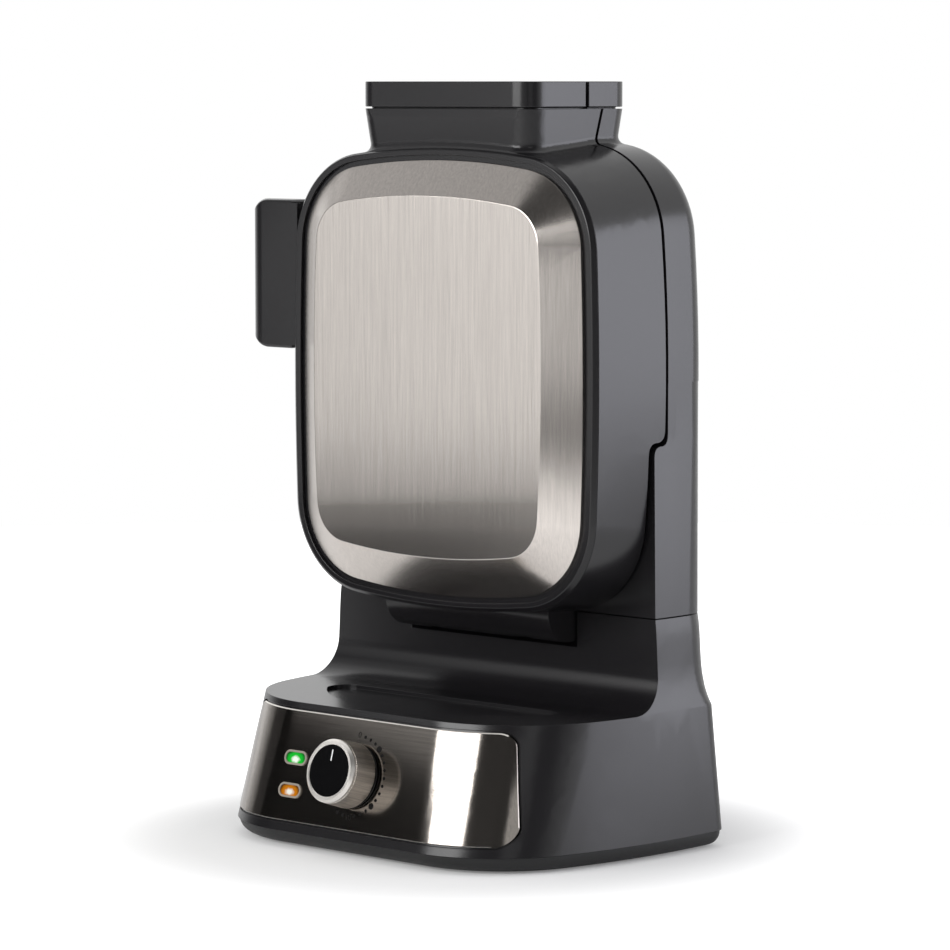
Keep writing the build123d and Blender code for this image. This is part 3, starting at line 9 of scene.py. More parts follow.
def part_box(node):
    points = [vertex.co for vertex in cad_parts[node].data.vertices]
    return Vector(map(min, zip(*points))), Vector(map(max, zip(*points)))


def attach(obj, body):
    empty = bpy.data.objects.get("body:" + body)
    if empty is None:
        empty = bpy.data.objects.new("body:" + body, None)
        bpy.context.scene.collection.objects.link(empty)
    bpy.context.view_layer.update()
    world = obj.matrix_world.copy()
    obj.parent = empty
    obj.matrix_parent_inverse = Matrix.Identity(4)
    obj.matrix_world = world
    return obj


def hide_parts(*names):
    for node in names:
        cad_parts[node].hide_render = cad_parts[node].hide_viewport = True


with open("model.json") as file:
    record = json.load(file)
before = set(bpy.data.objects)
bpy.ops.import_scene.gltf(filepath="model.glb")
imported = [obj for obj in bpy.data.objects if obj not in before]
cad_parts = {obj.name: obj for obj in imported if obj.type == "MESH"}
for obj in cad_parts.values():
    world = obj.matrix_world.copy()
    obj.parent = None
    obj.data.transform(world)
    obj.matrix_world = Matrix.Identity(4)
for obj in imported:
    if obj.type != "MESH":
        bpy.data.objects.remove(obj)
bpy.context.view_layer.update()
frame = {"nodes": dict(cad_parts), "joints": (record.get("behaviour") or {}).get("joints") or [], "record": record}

# The looks of an upright waffle maker. Metres, X to the right, Y to the back, Z up, origin under the foot.

MM = 0.001
NODES = frame["nodes"]
SLOTS = {row["node"]: row["material_slot"] for row in frame["record"]["subparts"]}
BODY_OF = {node: body for body, nodes in frame["record"]["behaviour"]["bodies"].items() for node in nodes}
JOINTS = {joint["name"]: joint for joint in frame["joints"]}

# The camera, matched to the photograph
CAMERA_AT = Vector((1.3819, -1.4979, 0.3688))
CAMERA_TO = Vector((0.0189, 0.0, 0.1802))
CAMERA_LENS = 159.16
SENSOR = 36.0

# The leaning fascia: X across, UP along the slope, OUT off it
LEAN = math.radians(15.6)
FASCIA_OUT = Vector((0, -math.cos(LEAN), math.sin(LEAN)))
FASCIA_UP = Vector((0, math.sin(LEAN), math.cos(LEAN)))
FASCIA_PROUD = 0.3 * MM
KNOB_AT = Vector(JOINTS["knob_turn"]["pos_m"])

# Half width and half height of a lit lens's glow.
# In those halves, where the white turns to colour, and where the colour turns dark.
LENS_GLOW = (3.0, 1.8)
LENS_HEART = (0.55, 1.15)
LENS_ENDS = (1.5, 2.3)

# Brush lines: the length of a fine one, and the length of a streak and how many lines wide it is
HAIR_LENGTH = 16 * MM
STREAK_LENGTH = 50 * MM
STREAK_LINES = 3

# Edges that turn by less than this are shaded as round
ROUND_BELOW = 28


def linear(code):
    """An sRGB hex colour as linear RGBA."""
    values = [int(code[i:i + 2], 16) / 255 for i in (1, 3, 5)]
    return tuple(v / 12.92 if v <= 0.04045 else ((v + 0.055) / 1.055) ** 2.4 for v in values) + (1.0,)


def add(tree, kind, links=None, **settings):
    """Adds a node. Links holds a value or another node's output for each input socket."""
    node = tree.nodes.new(kind)
    for name, value in settings.items():
        setattr(node, name, value)
    for socket, value in (links or {}).items():
        if isinstance(value, bpy.types.NodeSocket):
            tree.links.new(value, node.inputs[socket])
        else:
            node.inputs[socket].default_value = value
    return node


def new_material(name, **sockets):
    """A material with its Principled shader's sockets set."""
    material = bpy.data.materials.new(name)
    material.use_nodes = True
    shader = material.node_tree.nodes["Principled BSDF"]
    for socket, value in sockets.items():
        shader.inputs[socket.replace("_", " ")].default_value = value
    return material, material.node_tree, shader


def object_coordinates(tree, scale=(1, 1, 1)):
    place = add(tree, "ShaderNodeTexCoord")
    return add(tree, "ShaderNodeMapping", {"Vector": place.outputs["Object"], "Scale": scale}).outputs[0]


def moulded_plastic(name, colour, roughness=0.42, grain=0.35, depth=0.00004, specular=0.5):
    """ABS from a spark-eroded mould: a fine pebble that breaks the highlight into a satin sheen."""
    material, tree, shader = new_material(name, Roughness=roughness, Specular_IOR_Level=specular)
    where = object_coordinates(tree)
    pebble = add(tree, "ShaderNodeTexNoise", {"Vector": where, "Scale": 1 / (grain * MM), "Detail": 2.0})
    broad = add(tree, "ShaderNodeTexNoise", {"Vector": where, "Scale": 1 / (60 * MM), "Detail": 1.0})
    tone = add(tree, "ShaderNodeMix", data_type="RGBA")
    tree.links.new(broad.outputs["Fac"], tone.inputs["Factor"])
    base = linear(colour)
    tone.inputs["A"].default_value = tuple(0.94 * v for v in base[:3]) + (1.0,)
    tone.inputs["B"].default_value = tuple(1.06 * v for v in base[:3]) + (1.0,)
    tree.links.new(tone.outputs["Result"], shader.inputs["Base Color"])
    gloss = add(tree, "ShaderNodeMapRange", {
        "Value": pebble.outputs["Fac"], "To Min": roughness - 0.05, "To Max": roughness + 0.05
    })
    tree.links.new(gloss.outputs[0], shader.inputs["Roughness"])
    bump = add(tree, "ShaderNodeBump", {"Strength": 0.25, "Distance": depth, "Height": pebble.outputs["Fac"]})
    tree.links.new(bump.outputs[0], shader.inputs["Normal"])
    return material


def brush_coordinates(tree, scale, mapped):
    """Where a brush line lies: on the object, or on the piece's own brush map where it goes round."""
    if not mapped:
        return object_coordinates(tree, scale)
    place = add(tree, "ShaderNodeUVMap", uv_map="brush")
    return add(tree, "ShaderNodeMapping", {"Vector": place.outputs[0], "Scale": scale}).outputs[0]


def brushed_metal(name, colour, along, roughness, spread, line, depth=0.01, stripe=0.1, mapped=False):
    """Metal brushed in one direction: fine lines along it and highlights drawn out across it."""
    material, tree, shader = new_material(name, Metallic=1.0, Roughness=roughness)
    shader.inputs["Anisotropic"].default_value = spread
    fine = 1 / (line * MM)
    scale = [fine, fine, fine]
    scale[along] = 1 / HAIR_LENGTH
    coarse = [v / STREAK_LINES for v in scale]
    coarse[along] = 1 / STREAK_LENGTH
    fine_place = brush_coordinates(tree, scale, mapped)
    coarse_place = brush_coordinates(tree, coarse, mapped)
    hair = add(tree, "ShaderNodeTexNoise", {"Vector": fine_place, "Scale": 1.0, "Detail": 3.0})
    band = add(tree, "ShaderNodeTexNoise", {"Vector": coarse_place, "Scale": 1.0, "Detail": 2.0})
    both = add(tree, "ShaderNodeMath", {0: hair.outputs["Fac"], 1: band.outputs["Fac"]}, operation="ADD")
    tone = add(tree, "ShaderNodeMapRange", {
        "Value": both.outputs[0], "From Min": 0.6, "From Max": 1.4, "To Min": 1 - stripe, "To Max": 1 + stripe
    })
    base = linear(colour)
    shade = add(tree, "ShaderNodeVectorMath", {0: base[:3]}, operation="SCALE")
    tree.links.new(tone.outputs[0], shade.inputs["Scale"])
    tree.links.new(shade.outputs[0], shader.inputs["Base Color"])
    bump = add(tree, "ShaderNodeBump", {
        "Strength": 0.6, "Distance": depth * MM, "Height": hair.outputs["Fac"]
    })
    tree.links.new(bump.outputs[0], shader.inputs["Normal"])
    tangent = add(tree, "ShaderNodeTangent", direction_type="UV_MAP", uv_map="brush")
    tree.links.new(tangent.outputs[0], shader.inputs["Tangent"])
    return material


def plain_metal(name, colour, roughness=0.3, grit=0.3, stain=0.08):
    """Turned, plated or drawn metal with a faint cloudiness."""
    material, tree, shader = new_material(name, Metallic=1.0, Roughness=roughness)
    cloud = add(tree, "ShaderNodeTexNoise", {
        "Vector": object_coordinates(tree), "Scale": 1 / (8 * MM), "Detail": 4.0
    })
    tone = add(tree, "ShaderNodeMapRange", {
        "Value": cloud.outputs["Fac"], "To Min": 1 - stain, "To Max": 1 + stain
    })
    shade = add(tree, "ShaderNodeVectorMath", {0: linear(colour)[:3]}, operation="SCALE")
    tree.links.new(tone.outputs[0], shade.inputs["Scale"])
    tree.links.new(shade.outputs[0], shader.inputs["Base Color"])
    gloss = add(tree, "ShaderNodeMapRange", {
        "Value": cloud.outputs["Fac"], "To Min": roughness * 0.8, "To Max": roughness * 1.2
    })
    tree.links.new(gloss.outputs[0], shader.inputs["Roughness"])
    speck = add(tree, "ShaderNodeTexNoise", {"Vector": object_coordinates(tree), "Scale": 1 / (grit * MM)})
    bump = add(tree, "ShaderNodeBump", {"Strength": 0.2, "Distance": 0.00002, "Height": speck.outputs["Fac"]})
    tree.links.new(bump.outputs[0], shader.inputs["Normal"])
    return material


def gloss_plastic(name, colour, roughness=0.12, specular=0.5):
    """Polished or lacquered plastic with a few soft ripples in its reflection."""
    material, tree, shader = new_material(name, Roughness=roughness, Specular_IOR_Level=specular)
    wave = add(tree, "ShaderNodeTexNoise", {"Vector": object_coordinates(tree), "Scale": 1 / (5 * MM)})
    tone = add(tree, "ShaderNodeMapRange", {"Value": wave.outputs["Fac"], "To Min": 0.92, "To Max": 1.08})
    shade = add(tree, "ShaderNodeVectorMath", {0: linear(colour)[:3]}, operation="SCALE")
    tree.links.new(tone.outputs[0], shade.inputs["Scale"])
    tree.links.new(shade.outputs[0], shader.inputs["Base Color"])
    bump = add(tree, "ShaderNodeBump", {"Strength": 0.1, "Distance": 0.0001, "Height": wave.outputs["Fac"]})
    tree.links.new(bump.outputs[0], shader.inputs["Normal"])
    return material


def lit_lens(name, deep, colour, middle, strength):
    """A tinted lens lit from behind: white over the lamp, then its own colour, and deep at its ends."""
    material, tree, shader = new_material(name, Roughness=0.1)
    place = add(tree, "ShaderNodeTexCoord")
    scale = (1 / (LENS_GLOW[0] * MM), 0, 1 / (LENS_GLOW[1] * MM))
    near = add(tree, "ShaderNodeMapping", {
        "Vector": place.outputs["Object"], "Scale": scale, "Location": [-m * k for m, k in zip(middle, scale)]
    })
    away = add(tree, "ShaderNodeVectorMath", {0: near.outputs[0]}, operation="LENGTH")
    facet = add(tree, "ShaderNodeTexVoronoi", {"Vector": place.outputs["Object"], "Scale": 1 / (1.3 * MM)})
    speck = add(tree, "ShaderNodeMapRange", {
        "Value": facet.outputs["Distance"], "To Min": -0.12, "To Max": 0.2
    })
    edge = add(tree, "ShaderNodeMath", {0: away.outputs["Value"], 1: speck.outputs[0]}, operation="ADD")
    core = add(tree, "ShaderNodeMapRange", {
        "Value": edge.outputs[0], "From Min": LENS_HEART[0], "From Max": LENS_HEART[1]
    })
    rim = add(tree, "ShaderNodeMapRange", {
        "Value": edge.outputs[0], "From Min": LENS_ENDS[0], "From Max": LENS_ENDS[1]
    })
    inner = add(tree, "ShaderNodeMix", {"Factor": core.outputs[0]}, data_type="RGBA")
    inner.inputs["A"].default_value = linear("#fbfff6")
    inner.inputs["B"].default_value = linear(colour)
    outer = add(tree, "ShaderNodeMix", {
        "Factor": rim.outputs[0], "A": inner.outputs["Result"]
    }, data_type="RGBA")
    outer.inputs["B"].default_value = linear(deep)
    shader.inputs["Base Color"].default_value = linear(deep)
    tree.links.new(outer.outputs["Result"], shader.inputs["Emission Color"])
    shader.inputs["Emission Strength"].default_value = strength
    return material


def nonstick(name):
    """Cast aluminium under a black non-stick coat: low gloss with a fine orange peel."""
    material, tree, shader = new_material(name, Roughness=0.34)
    peel = add(tree, "ShaderNodeTexNoise", {
        "Vector": object_coordinates(tree), "Scale": 1 / (1.1 * MM), "Detail": 3.0
    })
    tone = add(tree, "ShaderNodeMapRange", {"Value": peel.outputs["Fac"], "To Min": 0.85, "To Max": 1.15})
    shade = add(tree, "ShaderNodeVectorMath", {0: linear("#232325")[:3]}, operation="SCALE")
    tree.links.new(tone.outputs[0], shade.inputs["Scale"])
    tree.links.new(shade.outputs[0], shader.inputs["Base Color"])
    bump = add(tree, "ShaderNodeBump", {"Strength": 0.35, "Distance": 0.00005, "Height": peel.outputs["Fac"]})
    tree.links.new(bump.outputs[0], shader.inputs["Normal"])
    return material


# Moulded ABS in charcoal: a satin skin that shows the room's light at a low angle
CHARCOAL = moulded_plastic("satin_charcoal_abs", "#1a191b", roughness=0.24, depth=0.00002)
# The same resin in black, left rougher inside the funnel and pan
BLACK_ABS = moulded_plastic("matt_black_abs", "#161617", roughness=0.45)
# Finer mould finish on the frame round the steel
FRAME_ABS = moulded_plastic("satin_black_frame_abs", "#19181a", roughness=0.22, depth=0.00002)
RUBBER = moulded_plastic("black_foot_rubber", "#161616", roughness=0.75, grain=0.6, specular=0.3)
PHENOLIC = moulded_plastic("brown_black_phenolic", "#2a211e", roughness=0.5)
BOARD = moulded_plastic("green_circuit_lacquer", "#1d5a34", roughness=0.3, grain=1.2)
STEATITE = moulded_plastic("white_steatite", "#e2dfd8", roughness=0.35, grain=0.8)
SLEEVE = moulded_plastic("red_silicone_sleeve", "#9c2a22", roughness=0.5)
# Stainless sheet brushed upright, which draws its highlights out sideways
STEEL = brushed_metal(
    "upright_brushed_stainless", "#dfd8d2", along=2, roughness=0.21, spread=0.85, line=0.3, stripe=0.12,
)
# Dark anodised aluminium brushed across, which draws its highlights out up and down
FASCIA = brushed_metal(
    "cross_brushed_aluminium", "#9c9690", along=0, roughness=0.13, spread=0.75, line=0.2, depth=0.003,
    stripe=0.25,
)
ZINC = plain_metal("zinc_plated_steel", "#b9babd", roughness=0.32)
# Satin aluminium with fine upright flutes, on the knob's side
KNOB_METAL = brushed_metal(
    "fluted_aluminium", "#e4ddd4", along=1, roughness=0.33, spread=0.6, line=0.45, depth=0.02, stripe=0.3,
    mapped=True,
)
# Diamond-cut edges, brighter than the faces beside them
RIM_METAL = plain_metal("bright_cut_aluminium", "#f6f2ec", roughness=0.34, stain=0.02)
FRAME_SHEET = plain_metal("grey_aluminised_sheet", "#8a8a8c", roughness=0.42)
REFLECTOR = plain_metal("bright_aluminium_sheet", "#d8d8da", roughness=0.25)
HEATER = plain_metal("heat_tinted_sheath", "#7d746c", roughness=0.4, stain=0.2)
BRASS = plain_metal("turned_brass", "#c69d55", roughness=0.25)
SPRING = plain_metal("drawn_spring_wire", "#9a9a9c", roughness=0.28)
PLATE = nonstick("black_nonstick_coat")
DISC = gloss_plastic("gloss_black_disc", "#0d0d0e", roughness=0.1)
BEZEL_GREY = gloss_plastic("satin_grey_bezel", "#8f887e", roughness=0.25)
POINTER_WHITE = gloss_plastic("white_pointer_lacquer", "#e6e6e6", roughness=0.3)
INK = gloss_plastic("black_dial_print", "#100f0f", roughness=0.6, specular=0.15)

SLOT_MATERIALS = {
    "charcoal_plastic": CHARCOAL, "black_plastic": BLACK_ABS, "foot_rubber": RUBBER, "zinc_steel": ZINC,
    "brushed_aluminium": FASCIA, "lamp_bezel": BEZEL_GREY, "circuit_board": BOARD, "phenolic": PHENOLIC,
    "ceramic_white": STEATITE, "wire_sleeve": SLEEVE, "plate_frame": FRAME_SHEET, "nonstick_plate": PLATE,
    "heater_tube": HEATER, "reflector_sheet": REFLECTOR, "bush_brass": BRASS, "lid_bezel": FRAME_ABS,
    "brushed_steel": STEEL, "spring_steel": SPRING, "polished_aluminium": KNOB_METAL, "knob_disc": DISC,
    "pointer_white": POINTER_WHITE,
}


def middle_of(node):
    low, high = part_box(node)
    return (low + high) / 2


for lens, deep, colour, strength in (
    ("green_lens", "#0c3a14", "#12b82c", 0.95),
    ("orange_lens", "#3c1f05", "#c8780c", 0.85),
):
    material_name = lens.replace("_", "_lit_")
    SLOT_MATERIALS[lens] = lit_lens(material_name, deep, colour, middle_of(lens), strength)


def finish_piece(name, bm, node, material=None):
    """Makes an object of a bmesh that rides with a CAD node's body and takes its slot."""
    mesh = bpy.data.meshes.new(name)
    bm.to_mesh(mesh)
    bm.free()
    piece = bpy.data.objects.new(name, mesh)
    bpy.context.scene.collection.objects.link(piece)
    mesh.materials.append(material or SLOT_MATERIALS[SLOTS[node]])
    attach(piece, BODY_OF[node])
    return piece


def brush_map(bm, across, along):
    """A map whose first axis lies across the brush lines, for drawn-out highlights."""
    layer = bm.loops.layers.uv.new("brush")
    for face in bm.faces:
        for loop in face.loops:
            co = loop.vert.co
            loop[layer].uv = (co[across], co[along])


def merged(node):
    """A bmesh copy of a CAD node with its loose triangles joined and flat areas made whole."""
    bm = bmesh.new()
    bm.from_mesh(NODES[node].data)
    bmesh.ops.remove_doubles(bm, verts=bm.verts, dist=0.002 * MM)
    bmesh.ops.dissolve_limit(bm, angle_limit=math.radians(0.3), verts=bm.verts, edges=bm.edges)
    return bm


def smooth_by_angle(bm, degrees=ROUND_BELOW):
    """Rounds the shading over gentle edges and keeps the others sharp."""
    for face in bm.faces:
        face.smooth = True
    for edge in bm.edges:
        edge.smooth = len(edge.link_faces) == 2 and edge.calc_face_angle(0) < math.radians(degrees)


def dressed(node, width=0.0, segments=2, degrees=ROUND_BELOW):
    """The node's own shape with smooth shading and, if a width is given, broken edges."""
    bm = merged(node)
    smooth_by_angle(bm, degrees)
    if node in BRUSH_AXES:
        brush_map(bm, *BRUSH_AXES[node])
    piece = finish_piece(node + "_skin", bm, node)
    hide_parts(node)
    if width:
        bevel = piece.modifiers.new("edges", "BEVEL")
        bevel.width = width * MM
        bevel.segments = segments
        bevel.limit_method = "ANGLE"
        bevel.angle_limit = math.radians(degrees)
        bevel.harden_normals = True
    if node in WIDE_FACED:
        even = piece.modifiers.new("normals", "WEIGHTED_NORMAL")
        even.keep_sharp = True
        even.weight = 100


# The direction that highlights are drawn out in, and the direction of the brush lines
BRUSH_AXES = {"steel_front_panel": (0, 2), "control_panel": (2, 0)}
# Pieces whose wide faces keep their own normals, so that the rounded edges beside them don't smear into them
WIDE_FACED = {"base_housing", "rear_housing", "lid_housing", "base_pan", "front_lip_ring", "rear_lip_ring"}

# How far the hard edges of the outer mouldings are broken, in millimetres
EDGE_WIDTHS = {
    "base_housing": 0.4, "rear_housing": 0.3, "lid_housing": 0.3, "base_pan": 0.4, "lid_bezel": 0.45,
    "front_lip_ring": 0.4, "rear_lip_ring": 0.4, "latch_handle": 0.3,
}

# Pieces that only take smooth shading
SMOOTHED = (
    "knob_core", "knob_face", "latch_bracket", "latch_pin", "latch_claw", "latch_keeper", "latch_spring",
    "lamp_bezels", "green_lens", "orange_lens", "rubber_feet", "base_screws", "cord_gland",
    "front_baking_plate", "rear_baking_plate", "front_inner_frame", "rear_inner_frame",
    "front_plate_screws", "rear_plate_screws", "hinge_pin", "hinge_bushes",
    "rear_heater", "front_heater", "wiring", "thermal_fuse",
)

for node, width in EDGE_WIDTHS.items():
    dressed(node, width)
for node in SMOOTHED:
    dressed(node)


# The steel panel, with the folds of its pressed bevel rounded as a sheet's are
STEEL_FOLD = 1.3
dressed("steel_front_panel", STEEL_FOLD, segments=4, degrees=20)


# The fascia, whose outer edge is cut bright all round
FASCIA_CUT = 0.5 * MM
FASCIA_CORNER = math.radians(60)
HOLE_REACH = 12 * MM


def make_fascia():
    bm = merged("control_panel")
    holes = [KNOB_AT, middle_of("green_lens"), middle_of("orange_lens")]
    outer = []
    for edge in bm.edges:
        middle = (edge.verts[0].co + edge.verts[1].co) / 2
        faces_out = [face for face in edge.link_faces if face.normal.dot(FASCIA_OUT) > 0.8]
        sharp = len(edge.link_faces) == 2 and edge.calc_face_angle(0) > FASCIA_CORNER
        if sharp and len(faces_out) == 1 and min((middle - hole).length for hole in holes) > HOLE_REACH:
            outer.append(edge)
    cut = bmesh.ops.bevel(
        bm, geom=outer, offset=FASCIA_CUT, segments=1, profile=0.5, affect="EDGES", material=-1,
    )
    smooth_by_angle(bm)
    for face in cut["faces"]:
        face.material_index = 1
    brush_map(bm, *BRUSH_AXES["control_panel"])
    piece = finish_piece("fascia_skin", bm, "control_panel")
    piece.data.materials.append(RIM_METAL)
    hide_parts("control_panel")


make_fascia()


def fascia_matrix(angle, radius, out=0.0):
    """The place at a clock angle and distance round the knob, and out from the foot's face, upright on it."""
    turn = math.radians(angle)
    at = KNOB_AT + Vector((1, 0, 0)) * radius * math.sin(turn) + FASCIA_UP * radius * math.cos(turn)
    at = at + FASCIA_OUT * out
    x, y, z = Vector((1, 0, 0)), FASCIA_UP, FASCIA_OUT
    return Matrix(((x.x, y.x, z.x, at.x), (x.y, y.y, z.y, at.y), (x.z, y.z, z.z, at.z), (0, 0, 0, 1)))


# The knob's turned shell, as radius and distance from the foot's face in millimetres
KNOB_PROFILE = (
    (0, 17.0), (12.6, 17.0), (12.6, 18.1), (12.9, 18.4), (14.1, 18.4), (15.4, 17.1), (15.45, 16.1),
    (15.0, 15.9), (15.0, 15.6), (15.55, 15.4), (15.6, 15.0), (16.1, 3.2), (15.8, 2.8), (14.3, 2.8),
    (14.3, 13.4), (0, 13.4),
)
FLUTES = 90
FLUTE_DEPTH = 0.2 * MM
FLUTE_LOW = 3.1 * MM
FLUTE_HIGH = 15.5 * MM
FLUTE_INNER = 15.2 * MM
RIM_LOW = 15.95 * MM


def make_knob_shell():
    """A finely fluted side, a turned groove above it and a bright rim round the black disc."""
    bm = bmesh.new()
    points = [bm.verts.new((radius * MM, 0, out * MM)) for radius, out in KNOB_PROFILE]
    for first, second in zip(points, points[1:]):
        bm.edges.new((first, second))
    bmesh.ops.spin(
        bm, geom=bm.verts[:] + bm.edges[:], cent=(0, 0, 0), axis=(0, 0, 1), angle=2 * math.pi,
        steps=2 * FLUTES, use_merge=True, use_duplicate=False,
    )
    bmesh.ops.remove_doubles(bm, verts=bm.verts, dist=0.001 * MM)
    bmesh.ops.recalc_face_normals(bm, faces=bm.faces)
    for vert in bm.verts:
        radius = math.hypot(vert.co.x, vert.co.y)
        step = round(math.atan2(vert.co.y, vert.co.x) * FLUTES / math.pi)
        if FLUTE_LOW < vert.co.z < FLUTE_HIGH and radius > FLUTE_INNER and step % 2:
            vert.co.xy = vert.co.xy * (1 - FLUTE_DEPTH / radius)
    smooth_by_angle(bm)
    layer = bm.loops.layers.uv.new("brush")
    for face in bm.faces:
        face.material_index = 1 if face.calc_center_median().z > RIM_LOW else 0
        middle = face.calc_center_median()
        start = math.atan2(middle.y, middle.x)
        for loop in face.loops:
            co = loop.vert.co
            turn = math.remainder(math.atan2(co.y, co.x) - start, 2 * math.pi) + start
            loop[layer].uv = (turn * FLUTE_INNER, co.z)
    bmesh.ops.transform(bm, matrix=fascia_matrix(0, 0), verts=bm.verts)
    piece = finish_piece("knob_shell", bm, "knob_body")
    piece.data.materials.append(RIM_METAL)
    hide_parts("knob_body")


make_knob_shell()

# The rest keep their own shape and only take a material
DRESSED = set(EDGE_WIDTHS) | set(SMOOTHED) | {"steel_front_panel", "control_panel", "knob_body"}
for node, obj in NODES.items():
    if node not in DRESSED:
        obj.data.materials.clear()
        obj.data.materials.append(SLOT_MATERIALS[SLOTS[node]])


# Dial marks, printed on the fascia round the knob
DIAL_RADIUS = 19.4 * MM
DIAL_START = -3.0
DIAL_STEP = 11.25
DIAL_DOTS = 18
DIAL_LARGE = (4, 12)
DIAL_TEN = 16
DOT_RADIUS = 0.82 * MM
LARGE_DOT_RADIUS = 1.6 * MM
NUMBER_SIZE = 4.2 * MM
NUMBER_RADIUS = DIAL_RADIUS + 0.5 * MM
PRINT_THICKNESS = 0.05 * MM


def make_dial_marks():
    bm = bmesh.new()
    for i in range(1, DIAL_DOTS + 1):
        if i == DIAL_TEN:
            continue
        radius = LARGE_DOT_RADIUS if i in DIAL_LARGE else DOT_RADIUS
        bmesh.ops.create_cone(
            bm, cap_ends=True, segments=24, radius1=radius, radius2=radius, depth=2 * PRINT_THICKNESS,
            matrix=fascia_matrix(DIAL_START + DIAL_STEP * i, DIAL_RADIUS, FASCIA_PROUD),
        )
    finish_piece("dial_dots", bm, "control_panel", INK)


def make_dial_number(text, step):
    curve = bpy.data.curves.new("number", "FONT")
    curve.body = text
    curve.size = NUMBER_SIZE
    curve.align_x = "CENTER"
    curve.align_y = "CENTER"
    curve.extrude = PRINT_THICKNESS
    holder = bpy.data.objects.new("number", curve)
    bpy.context.scene.collection.objects.link(holder)
    bpy.context.view_layer.update()
    mesh = bpy.data.meshes.new_from_object(holder)
    bpy.data.objects.remove(holder)
    mesh.transform(fascia_matrix(DIAL_START + DIAL_STEP * step, NUMBER_RADIUS, FASCIA_PROUD))
    bm = bmesh.new()
    bm.from_mesh(mesh)
    finish_piece("dial_number_" + text, bm, "control_panel", INK)


make_dial_marks()
make_dial_number("0", 0)
make_dial_number("10", DIAL_TEN)


# The floor turns from shadowed to white between the near and the far distance.
# It glows near the object by this much, and reflections see this share of the glow.
FLOOR_RADIUS = 1.5
FLOOR_NEAR = 0.12
FLOOR_FAR = 0.26
FLOOR_GLOW = 0.17
FLOOR_MIRRORED = 0.15

# The room's level to matt surfaces, and to reflections in front of and behind the object
WORLD_LEVEL = 0.55
ROOM_FRONT = 0.06
ROOM_BACK = 1.0


def make_floor():
    """A pale disc that keeps the object's shadow near it and turns to the background's white further out."""
    bm = bmesh.new()
    bmesh.ops.create_circle(bm, cap_ends=True, segments=96, radius=FLOOR_RADIUS)
    mesh = bpy.data.meshes.new("floor")
    bm.to_mesh(mesh)
    bm.free()
    floor = bpy.data.objects.new("floor", mesh)
    bpy.context.scene.collection.objects.link(floor)
    material, tree, shader = new_material("pale_floor", Roughness=0.9)
    shader.inputs["Base Color"].default_value = linear("#e8e8e8")
    shader.inputs["Specular IOR Level"].default_value = 0.2
    place = add(tree, "ShaderNodeTexCoord")
    away = add(tree, "ShaderNodeVectorMath", {0: place.outputs["Object"]}, operation="LENGTH")
    level = add(tree, "ShaderNodeMapRange", {
        "Value": away.outputs["Value"], "From Min": FLOOR_NEAR, "From Max": FLOOR_FAR,
        "To Min": FLOOR_GLOW, "To Max": 1.0,
    }, interpolation_type="SMOOTHSTEP")
    light = add(tree, "ShaderNodeLightPath")
    mirrored = add(tree, "ShaderNodeMath", {
        0: light.outputs["Is Glossy Ray"], 1: FLOOR_MIRRORED
    }, operation="MULTIPLY")
    direct = add(tree, "ShaderNodeMath", {
        0: light.outputs["Is Camera Ray"], 1: mirrored.outputs[0]
    }, operation="MAXIMUM")
    seen = add(tree, "ShaderNodeMath", {0: direct.outputs[0], 1: level.outputs[0]}, operation="MULTIPLY")
    glow = add(tree, "ShaderNodeEmission", {"Color": (1, 1, 1, 1), "Strength": seen.outputs[0]})
    total = add(tree, "ShaderNodeAddShader", {0: shader.outputs[0], 1: glow.outputs[0]})
    tree.links.new(total.outputs[0], tree.nodes["Material Output"].inputs["Surface"])
    mesh.materials.append(material)


def make_world():
    """White to the eye, bright behind the object and dark in front of it in reflections."""
    world = bpy.data.worlds.new("studio")
    bpy.context.scene.world = world
    world.use_nodes = True
    world.cycles.sampling_method = "NONE"
    tree = world.node_tree
    back = tree.nodes["Background"]
    back.inputs["Color"].default_value = (1, 1, 1, 1)
    path = add(tree, "ShaderNodeLightPath")
    place = add(tree, "ShaderNodeTexCoord")
    aim = add(tree, "ShaderNodeSeparateXYZ", {0: place.outputs["Generated"]})
    room = add(tree, "ShaderNodeMapRange", {
        "Value": aim.outputs["Y"], "From Min": -0.2, "From Max": 0.2,
        "To Min": ROOM_FRONT, "To Max": ROOM_BACK
    })
    level = add(tree, "ShaderNodeMix", {"Factor": path.outputs["Is Glossy Ray"]}, data_type="FLOAT")
    level.inputs["A"].default_value = WORLD_LEVEL
    tree.links.new(room.outputs[0], level.inputs["B"])
    clear = add(tree, "ShaderNodeMath", {
        0: path.outputs["Is Camera Ray"], 1: path.outputs["Is Transmission Ray"]
    }, operation="MAXIMUM")
    total = add(tree, "ShaderNodeMath", {0: level.outputs[0], 1: clear.outputs[0]}, operation="MAXIMUM")
    tree.links.new(total.outputs[0], back.inputs["Strength"])


def area_light(name, at, to, width, height, level, colour="#ffffff"):
    """A softbox or card that looks as bright as the level says, where 1 is white."""
    data = bpy.data.lights.new(name, "AREA")
    data.shape = "RECTANGLE"
    data.size = width
    data.size_y = height
    data.energy = math.pi * width * height * level
    data.color = linear(colour)[:3]
    lamp = bpy.data.objects.new(name, data)
    lamp.location = at
    lamp.rotation_euler = (Vector(to) - Vector(at)).to_track_quat("-Z", "Y").to_euler()
    lamp.visible_camera = False
    bpy.context.scene.collection.objects.link(lamp)


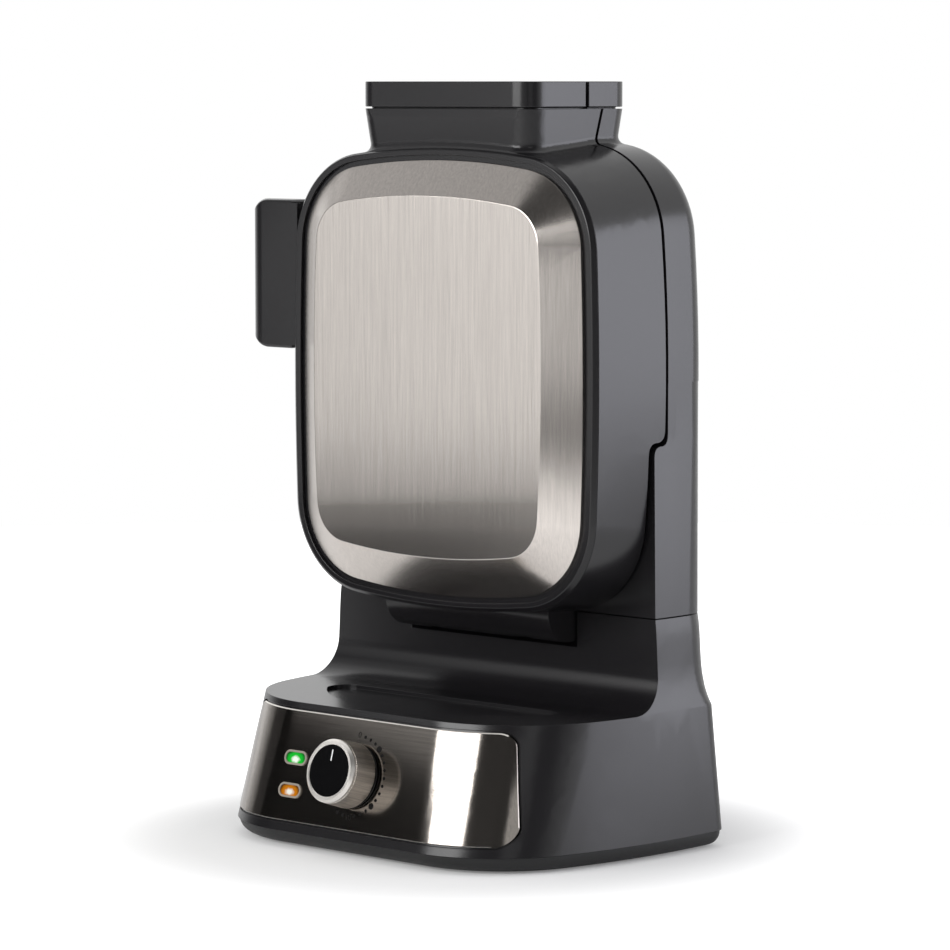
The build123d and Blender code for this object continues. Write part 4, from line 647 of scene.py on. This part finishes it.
# Each light's name, place, aim, width, height and level
LIGHTS = (
    ("front_softbox", (-0.27, -1.29, 0.60), (0.0, -0.06, 0.04), 1.05, 0.5, 6.4),
    ("left_card", (-0.76, -1.75, 0.18), (0, 0, 0.2), 2.1, 0.36, 0.84),
    ("fascia_card", (-1.2, -1.4, 0.8), (0, -0.1, 0.05), 1.0, 0.8, 0.4),
    ("right_card", (0.571, -1.812, 0.21), (0, 0, 0.2), 1.2, 0.28, 0.6),
    ("high_left_card", (-1.0, -0.46, 1.36), (0, 0, 0.3), 1.2, 0.9, 0.36),
    ("camera_softbox", (1.45, -1.05, 0.7), (0, 0, 0.1), 0.5, 0.7, 0.7),
    ("right_back_softbox", (1.3, 0.92, 0.4), (0, 0, 0.16), 1.1, 0.8, 3.2, "#f2f3ff"),
    ("top_softbox", (0.0, 0.1, 1.8), (0, 0, 0), 1.2, 1.2, 0.4),
)

make_floor()
make_world()
for row in LIGHTS:
    area_light(*row)


# The flag that shades the foot of the steel in its reflections
FLAG_WIDTH = 0.26
FLAG_HEIGHT = 0.13
FLAG_TURN = math.radians(-42)
FLAG_AT = (-0.2, -0.26, FLAG_HEIGHT / 2)


def make_flag():
    """A black flag in front on the left, seen only in reflections."""
    bm = bmesh.new()
    bmesh.ops.create_grid(bm, x_segments=1, y_segments=1, size=0.5)
    bmesh.ops.scale(bm, vec=(FLAG_WIDTH, FLAG_HEIGHT, 1), verts=bm.verts)
    bmesh.ops.rotate(bm, cent=(0, 0, 0), matrix=Matrix.Rotation(math.pi / 2, 3, "X"), verts=bm.verts)
    bmesh.ops.rotate(bm, cent=(0, 0, 0), matrix=Matrix.Rotation(FLAG_TURN, 3, "Z"), verts=bm.verts)
    bmesh.ops.translate(bm, vec=FLAG_AT, verts=bm.verts)
    mesh = bpy.data.meshes.new("flag")
    bm.to_mesh(mesh)
    bm.free()
    flag = bpy.data.objects.new("flag", mesh)
    bpy.context.scene.collection.objects.link(flag)
    material, tree, shader = new_material("black_velvet_flag", Roughness=1.0)
    shader.inputs["Base Color"].default_value = linear("#050505")
    mesh.materials.append(material)
    flag.visible_camera = False
    flag.visible_diffuse = False
    flag.visible_shadow = False


make_flag()


def make_camera():
    data = bpy.data.cameras.new("camera")
    data.lens = CAMERA_LENS
    data.sensor_width = SENSOR
    data.clip_start = 0.05
    data.clip_end = 50
    camera = bpy.data.objects.new("camera", data)
    camera.location = CAMERA_AT
    camera.rotation_euler = (CAMERA_TO - CAMERA_AT).to_track_quat("-Z", "Y").to_euler()
    bpy.context.scene.collection.objects.link(camera)
    bpy.context.scene.camera = camera


make_camera()
bpy.context.scene.view_settings.view_transform = "Standard"

bpy.context.view_layer.update()
